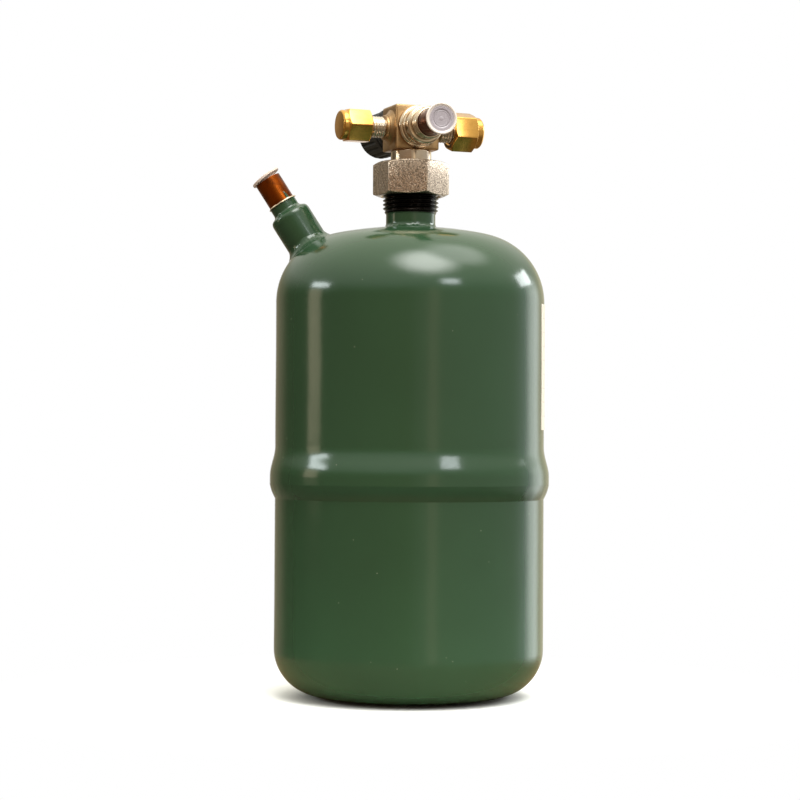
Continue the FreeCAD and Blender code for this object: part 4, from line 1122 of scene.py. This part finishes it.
class RECEIVER_OT_inlet(bpy.types.Operator):
    """Makes the leaning inlet stub, its weld, copper tube, braze ring and plug"""
    bl_idname = "receiver.inlet"
    bl_label = "Inlet stub"

    def execute(self, context):
        colours = context.scene.receiver_colours
        paint = enamel(context)
        boss = fillet_path([
            (4.6, 24.0, 0), (INLET_BOSS_RADIUS, 24.0, 0), (INLET_BOSS_RADIUS, INLET_BOSS_TOP + 1.4, 2.2),
            (INLET_NOSE_RADIUS + 0.6, 48.5, 0.9), (INLET_NOSE_RADIUS, 49.4, 0.5),
            (INLET_NOSE_RADIUS, INLET_NOSE_TOP - 0.1, 0.25), (TUBE_RADIUS + 0.05, INLET_NOSE_TOP, 0.05),
            (TUBE_RADIUS + 0.05, 44.0, 0), (4.6, 44.0, 0)], 8)
        dress(skin("inlet_boss_turned", placed(revolve(boss, 128), INLET_WAY, INLET_MIDDLE), loop=True), paint,
              "receiver", "green_enamel", "inlet_boss")
        self.weld(context, paint)
        copper = material_for("inlet_copper", lambda: worked_metal(
            "drawn_copper_stub", colours.copper, 0.24, INLET_WAY, INLET_MIDDLE, 0.5, 0.006, "3C1A0C", 0.85, 5.0))
        pipe = pipe_path(TUBE_RADIUS, TUBE_WALL, 44.1, INLET_TUBE_END)
        dress(skin("inlet_copper_tube", placed(revolve(pipe, 112), INLET_WAY, INLET_MIDDLE), loop=True), copper,
              "receiver", "copper_tube", "inlet_tube")
        self.braze()
        self.paint_run(paint)
        white = material_for("white_plug", lambda: white_polyethylene(colours))
        mouth = INLET_MIDDLE + INLET_WAY * INLET_TUBE_END
        dress(skin("inlet_plug_white", plug_points(mouth, INLET_WAY, INLET_SIDE)), white,
              "inlet_plug", "white_plug", "inlet_plug")
        return {"FINISHED"}

    def weld(self, context, paint):
        """Fillet between boss and knuckle.

        At each angle it is a parabola from a point up the boss to a point out on the
        vessel, drawn towards the corner between them, with a ripple along the bead.
        """
        ripple = context.scene.receiver_sizes.weld_ripple / MM
        turn = angles(144)
        leg = 3.4
        inner = INLET_BOSS_RADIUS
        swing = 1 + 0.08 * np.sin(3 * turn + 1.0) + 0.05 * np.sin(7 * turn)
        outer = inner + leg * swing
        corner = height_on_vessel(inner * np.cos(turn), inner * np.sin(turn))
        foot = height_on_vessel(outer * np.cos(turn), outer * np.sin(turn))
        rings = []
        for share in np.linspace(0, 1, 14):
            weights = ((1 - share) ** 2, 2 * share * (1 - share), share ** 2)
            radius = weights[0] * (inner - 0.02) + weights[1] * (inner + 0.55) + weights[2] * outer
            height = weights[0] * (corner + leg * 0.95 * swing) + weights[1] * (corner + 0.35) + weights[2] * foot
            height = height + ripple * np.sin(40 * turn + 2 * np.sin(3 * turn)) * math.sin(math.pi * share)
            rings.append(np.stack([radius * np.cos(turn), radius * np.sin(turn), height], axis=-1))
        for radius, drop in ((outer - 0.2, 0.4), (inner + 0 * turn - 0.05, 1.0)):
            height = height_on_vessel(radius * np.cos(turn), radius * np.sin(turn)) - drop
            rings.append(np.stack([radius * np.cos(turn), radius * np.sin(turn), height], axis=-1))
        dress(skin("inlet_weld_fillet", placed(np.array(rings), INLET_WAY, INLET_MIDDLE), loop=True), paint,
              "receiver", "green_enamel", "inlet_weld")

    def braze(self):
        """Thin uneven ring of silver braze where the copper enters the boss."""
        share = np.linspace(0, math.pi / 2, 7)
        turn = angles(112)
        size = 0.78 + 0.14 * np.sin(5 * turn + 1) + 0.08 * np.sin(11 * turn)
        radius = TUBE_RADIUS + 0.01 + size[None, :] * np.cos(share)[:, None]
        height = INLET_NOSE_TOP - 0.02 + 0.8 * size[None, :] * np.sin(share)[:, None]
        base = np.stack([(TUBE_RADIUS + 0.01) + 0 * turn, INLET_NOSE_TOP - 0.02 + 0 * turn])
        radius = np.vstack([radius, base[:1]])
        height = np.vstack([height, base[1:]])
        rings = np.stack([radius * np.cos(turn), radius * np.sin(turn), height], axis=-1)
        silver = material_for("braze", lambda: worked_metal(
            "silver_braze", "D9C8AE", 0.35, INLET_WAY, INLET_MIDDLE, 0.6, 0.02, "A08862"))
        dress(skin("inlet_braze_ring", placed(rings, INLET_WAY, INLET_MIDDLE), loop=True), silver,
              "receiver", "braze_metal", "inlet_braze")

    def paint_run(self, paint):
        """A run of enamel over the braze and up the copper.

        Its thickness falls to nothing at its outline, a tongue that narrows as it climbs.
        """
        across, up = np.meshgrid(np.linspace(-1, 1, 21), np.linspace(0, 1, 25), indexing="ij")
        width = math.radians(9) * (1 - 0.75 * up ** 1.5)
        middle = math.radians(-52) - math.radians(5) * up
        turn = middle + across * width
        thick = 0.34 * np.sqrt(np.clip((1 - across ** 2) * (1 - up ** 4), 0, 1))
        height = INLET_NOSE_TOP - 0.3 + 4.2 * up
        swell = 0.75 * np.clip(1 - up * 5, 0, 1)
        layers = []
        for radius in (TUBE_RADIUS - 0.03 + thick + swell, TUBE_RADIUS - 0.08 + 0 * thick):
            layers.append(np.stack([radius * np.cos(turn), radius * np.sin(turn), height], axis=-1).reshape(-1, 3))
        points = placed(np.vstack(layers), INLET_WAY, INLET_MIDDLE)
        piece = mesh_object("inlet_paint_run", points * MM, sheet_faces(across.shape).tolist())
        dress(piece, paint, "receiver", "green_enamel")


# Stage, light and camera

def direction(turn, rise):
    """Unit direction from degrees round from the front towards +X and degrees up."""
    turn, rise = math.radians(turn), math.radians(rise)
    return Vector((math.sin(turn) * math.cos(rise), -math.cos(turn) * math.cos(rise), math.sin(rise)))


class RECEIVER_OT_stage(bpy.types.Operator):
    """Makes the pale floor, the studio light and the camera"""
    bl_idname = "receiver.stage"
    bl_label = "Stage, light and camera"

    def execute(self, context):
        self.floor()
        self.world(context)
        for lamp in LAMPS:
            self.lamp(context, *lamp)
        self.camera(context)
        return {"FINISHED"}

    def floor(self):
        """A pale matt floor at the height of the base that fades out into the white background. Reflections see it as
        darker brown, a painted reflection on the vessel's base.
        """
        reach = 0.6
        corners = np.array([(-reach, -reach, 0), (reach, -reach, 0), (reach, reach, 0), (-reach, reach, 0)])
        floor = mesh_object("floor", corners, [[0, 1, 2, 3]])
        material, tree, shader = new_material("pale_matt_floor")
        place = add(tree, "ShaderNodeTexCoord").outputs["Object"]
        grain = noise(tree, place, 50.0, 3.0)
        distance = add(tree, "ShaderNodeVectorMath", {0: place}, operation="LENGTH").outputs["Value"]
        fade = add(tree, "ShaderNodeMapRange", {
            "Value": distance, "From Min": 0.07, "From Max": 0.20, "To Min": 1.0, "To Max": 0.0},
            interpolation_type="SMOOTHSTEP").outputs[0]
        pale = ramp(tree, grain, [(0.2, 0.92), (0.8, 0.94)])
        # Painted reflection: glossy rays see the floor as darker brown, which shows on the vessel's lower knuckle
        mirrored = add(tree, "ShaderNodeLightPath").outputs["Is Glossy Ray"]
        fill(tree, shader, Base_Color=mix_colour(tree, mirrored, pale, hex_colour("7A6440")), Roughness=0.8,
             Alpha=fade)
        floor.data.materials.append(material)

    def world(self, context):
        """A white backdrop to the camera, through clear plastic and straight back in reflections, else a warm room."""
        world = bpy.data.worlds.new("studio")
        world.use_nodes = True
        tree = world.node_tree
        tree.nodes.clear()
        path = add(tree, "ShaderNodeLightPath")
        way = add(tree, "ShaderNodeSeparateXYZ", {0: add(tree, "ShaderNodeTexCoord").outputs["Generated"]})
        low, high = BACKDROP_EDGE
        behind = add(tree, "ShaderNodeMapRange", {"Value": way.outputs[1], "From Min": low, "From Max": high},
                     interpolation_type="SMOOTHSTEP").outputs[0]
        mirrored = maths(tree, "MULTIPLY", path.outputs["Is Glossy Ray"], behind)
        seen = maths(tree, "MAXIMUM", path.outputs["Is Camera Ray"], path.outputs["Is Transmission Ray"])
        direct = maths(tree, "MAXIMUM", seen, mirrored)
        side = maths(tree, "ARCTAN2", way.outputs[0], maths(tree, "MULTIPLY", way.outputs[1], -1.0))
        share = maths(tree, "ADD", maths(tree, "MULTIPLY", side, 0.5 / math.pi), 0.5)
        level = ramp(tree, share, [((turn + 180.0) / 360.0, (*light, 1.0)) for turn, light in LEVEL_LIGHT])
        rise = maths(tree, "ADD", maths(tree, "MULTIPLY", way.outputs[2], 0.5), 0.5)
        above = ramp(tree, rise, [((sine + 1.0) / 2.0, (*light, 1.0)) for sine, light in CEILING_LIGHT])
        blend = ramp(tree, rise, [((sine + 1.0) / 2.0, light) for sine, light in LEVEL_SHARE])
        room = mix_colour(tree, blend, above, level)
        for turn, rise, edge, peak in GLOWS:
            nearness = add(tree, "ShaderNodeVectorMath", {
                0: add(tree, "ShaderNodeTexCoord").outputs["Generated"], 1: direction(turn, rise)},
                operation="DOT_PRODUCT")
            glow = add(tree, "ShaderNodeMapRange", {
                "Value": nearness.outputs["Value"], "From Min": edge[0], "From Max": edge[1]},
                interpolation_type="SMOOTHSTEP").outputs[0]
            room = mix_colour(tree, maths(tree, "POWER", glow, 2.0), room, peak)
        colour = mix_colour(tree, direct, room, (1.0, 1.0, 1.0, 1.0))
        shade = add(tree, "ShaderNodeBackground", {"Color": colour, "Strength": 1.0})
        add(tree, "ShaderNodeOutputWorld", {"Surface": shade.outputs[0]})
        context.scene.world = world

    def lamp(self, context, name, turn, rise, distance, width, tall, radiance):
        """An area light that faces the object. Its power is pi times its area for each unit of radiance."""
        data = bpy.data.lights.new(name, "AREA")
        data.shape = "RECTANGLE"
        data.size = width
        data.size_y = tall
        strongest = max(radiance)
        data.energy = math.pi * width * tall * strongest
        data.color = [value / strongest for value in radiance]
        way = direction(turn, rise)
        lamp = bpy.data.objects.new(name, data)
        lamp.location = Vector(LAMP_TARGET) + way * distance
        lamp.rotation_euler = (-way).to_track_quat("-Z", "Y").to_euler()
        context.scene.collection.objects.link(lamp)

    def camera(self, context):
        """A camera at the photograph's distance and height, turned so the axis falls on its pixel."""
        data = bpy.data.cameras.new("camera")
        data.sensor_width = SENSOR_WIDTH
        data.lens = SENSOR_WIDTH * FOCAL_PIXELS / PHOTO_SIZE
        camera = bpy.data.objects.new("camera", data)
        yaw = math.atan((AXIS_PIXEL[0] - PHOTO_SIZE / 2) / FOCAL_PIXELS)
        pitch = math.atan((AXIS_PIXEL[1] - PHOTO_SIZE / 2) / FOCAL_PIXELS)
        aim = Matrix.Rotation(yaw, 4, "Z") @ Matrix.Rotation(math.pi / 2 + pitch, 4, "X")
        camera.matrix_world = (Matrix.Translation((0, -CAMERA_DISTANCE, CAMERA_HEIGHT)) @ aim
                               @ Matrix.Rotation(CAMERA_ROLL, 4, "Z"))
        context.scene.collection.objects.link(camera)
        context.scene.camera = camera
        context.scene.view_settings.view_transform = "Standard"


OPERATORS = (RECEIVER_OT_stage, RECEIVER_OT_vessel, RECEIVER_OT_label, RECEIVER_OT_neck, RECEIVER_OT_union_nut,
             RECEIVER_OT_valve_body, RECEIVER_OT_stem_cap, RECEIVER_OT_ports, RECEIVER_OT_outlet, RECEIVER_OT_inlet)


class RECEIVER_PT_panel(bpy.types.Panel):
    """Lists the receiver's pieces, sizes and colours"""
    bl_idname = "RECEIVER_PT_panel"
    bl_label = "Liquid receiver"
    bl_space_type = "VIEW_3D"
    bl_region_type = "UI"
    bl_category = "Receiver"

    def draw(self, context):
        layout = self.layout
        for group in (context.scene.receiver_sizes, context.scene.receiver_colours):
            box = layout.box()
            for name in group.__annotations__:
                box.prop(group, name)
        for operator in OPERATORS:
            layout.operator(operator.bl_idname)


CLASSES = (ReceiverSizes, ReceiverColours) + OPERATORS + (RECEIVER_PT_panel,)


def register():
    for item in CLASSES:
        bpy.utils.register_class(item)
    bpy.types.Scene.receiver_sizes = bpy.props.PointerProperty(type=ReceiverSizes)
    bpy.types.Scene.receiver_colours = bpy.props.PointerProperty(type=ReceiverColours)


def unregister():
    del bpy.types.Scene.receiver_colours
    del bpy.types.Scene.receiver_sizes
    for item in reversed(CLASSES):
        bpy.utils.unregister_class(item)


def main():
    register()
    for operator in OPERATORS:
        group, name = operator.bl_idname.split(".")
        if getattr(getattr(bpy.ops, group), name)() != {"FINISHED"}:
            raise RuntimeError(f"{operator.bl_label} did not finish")


if __name__ == "__main__":
    main()
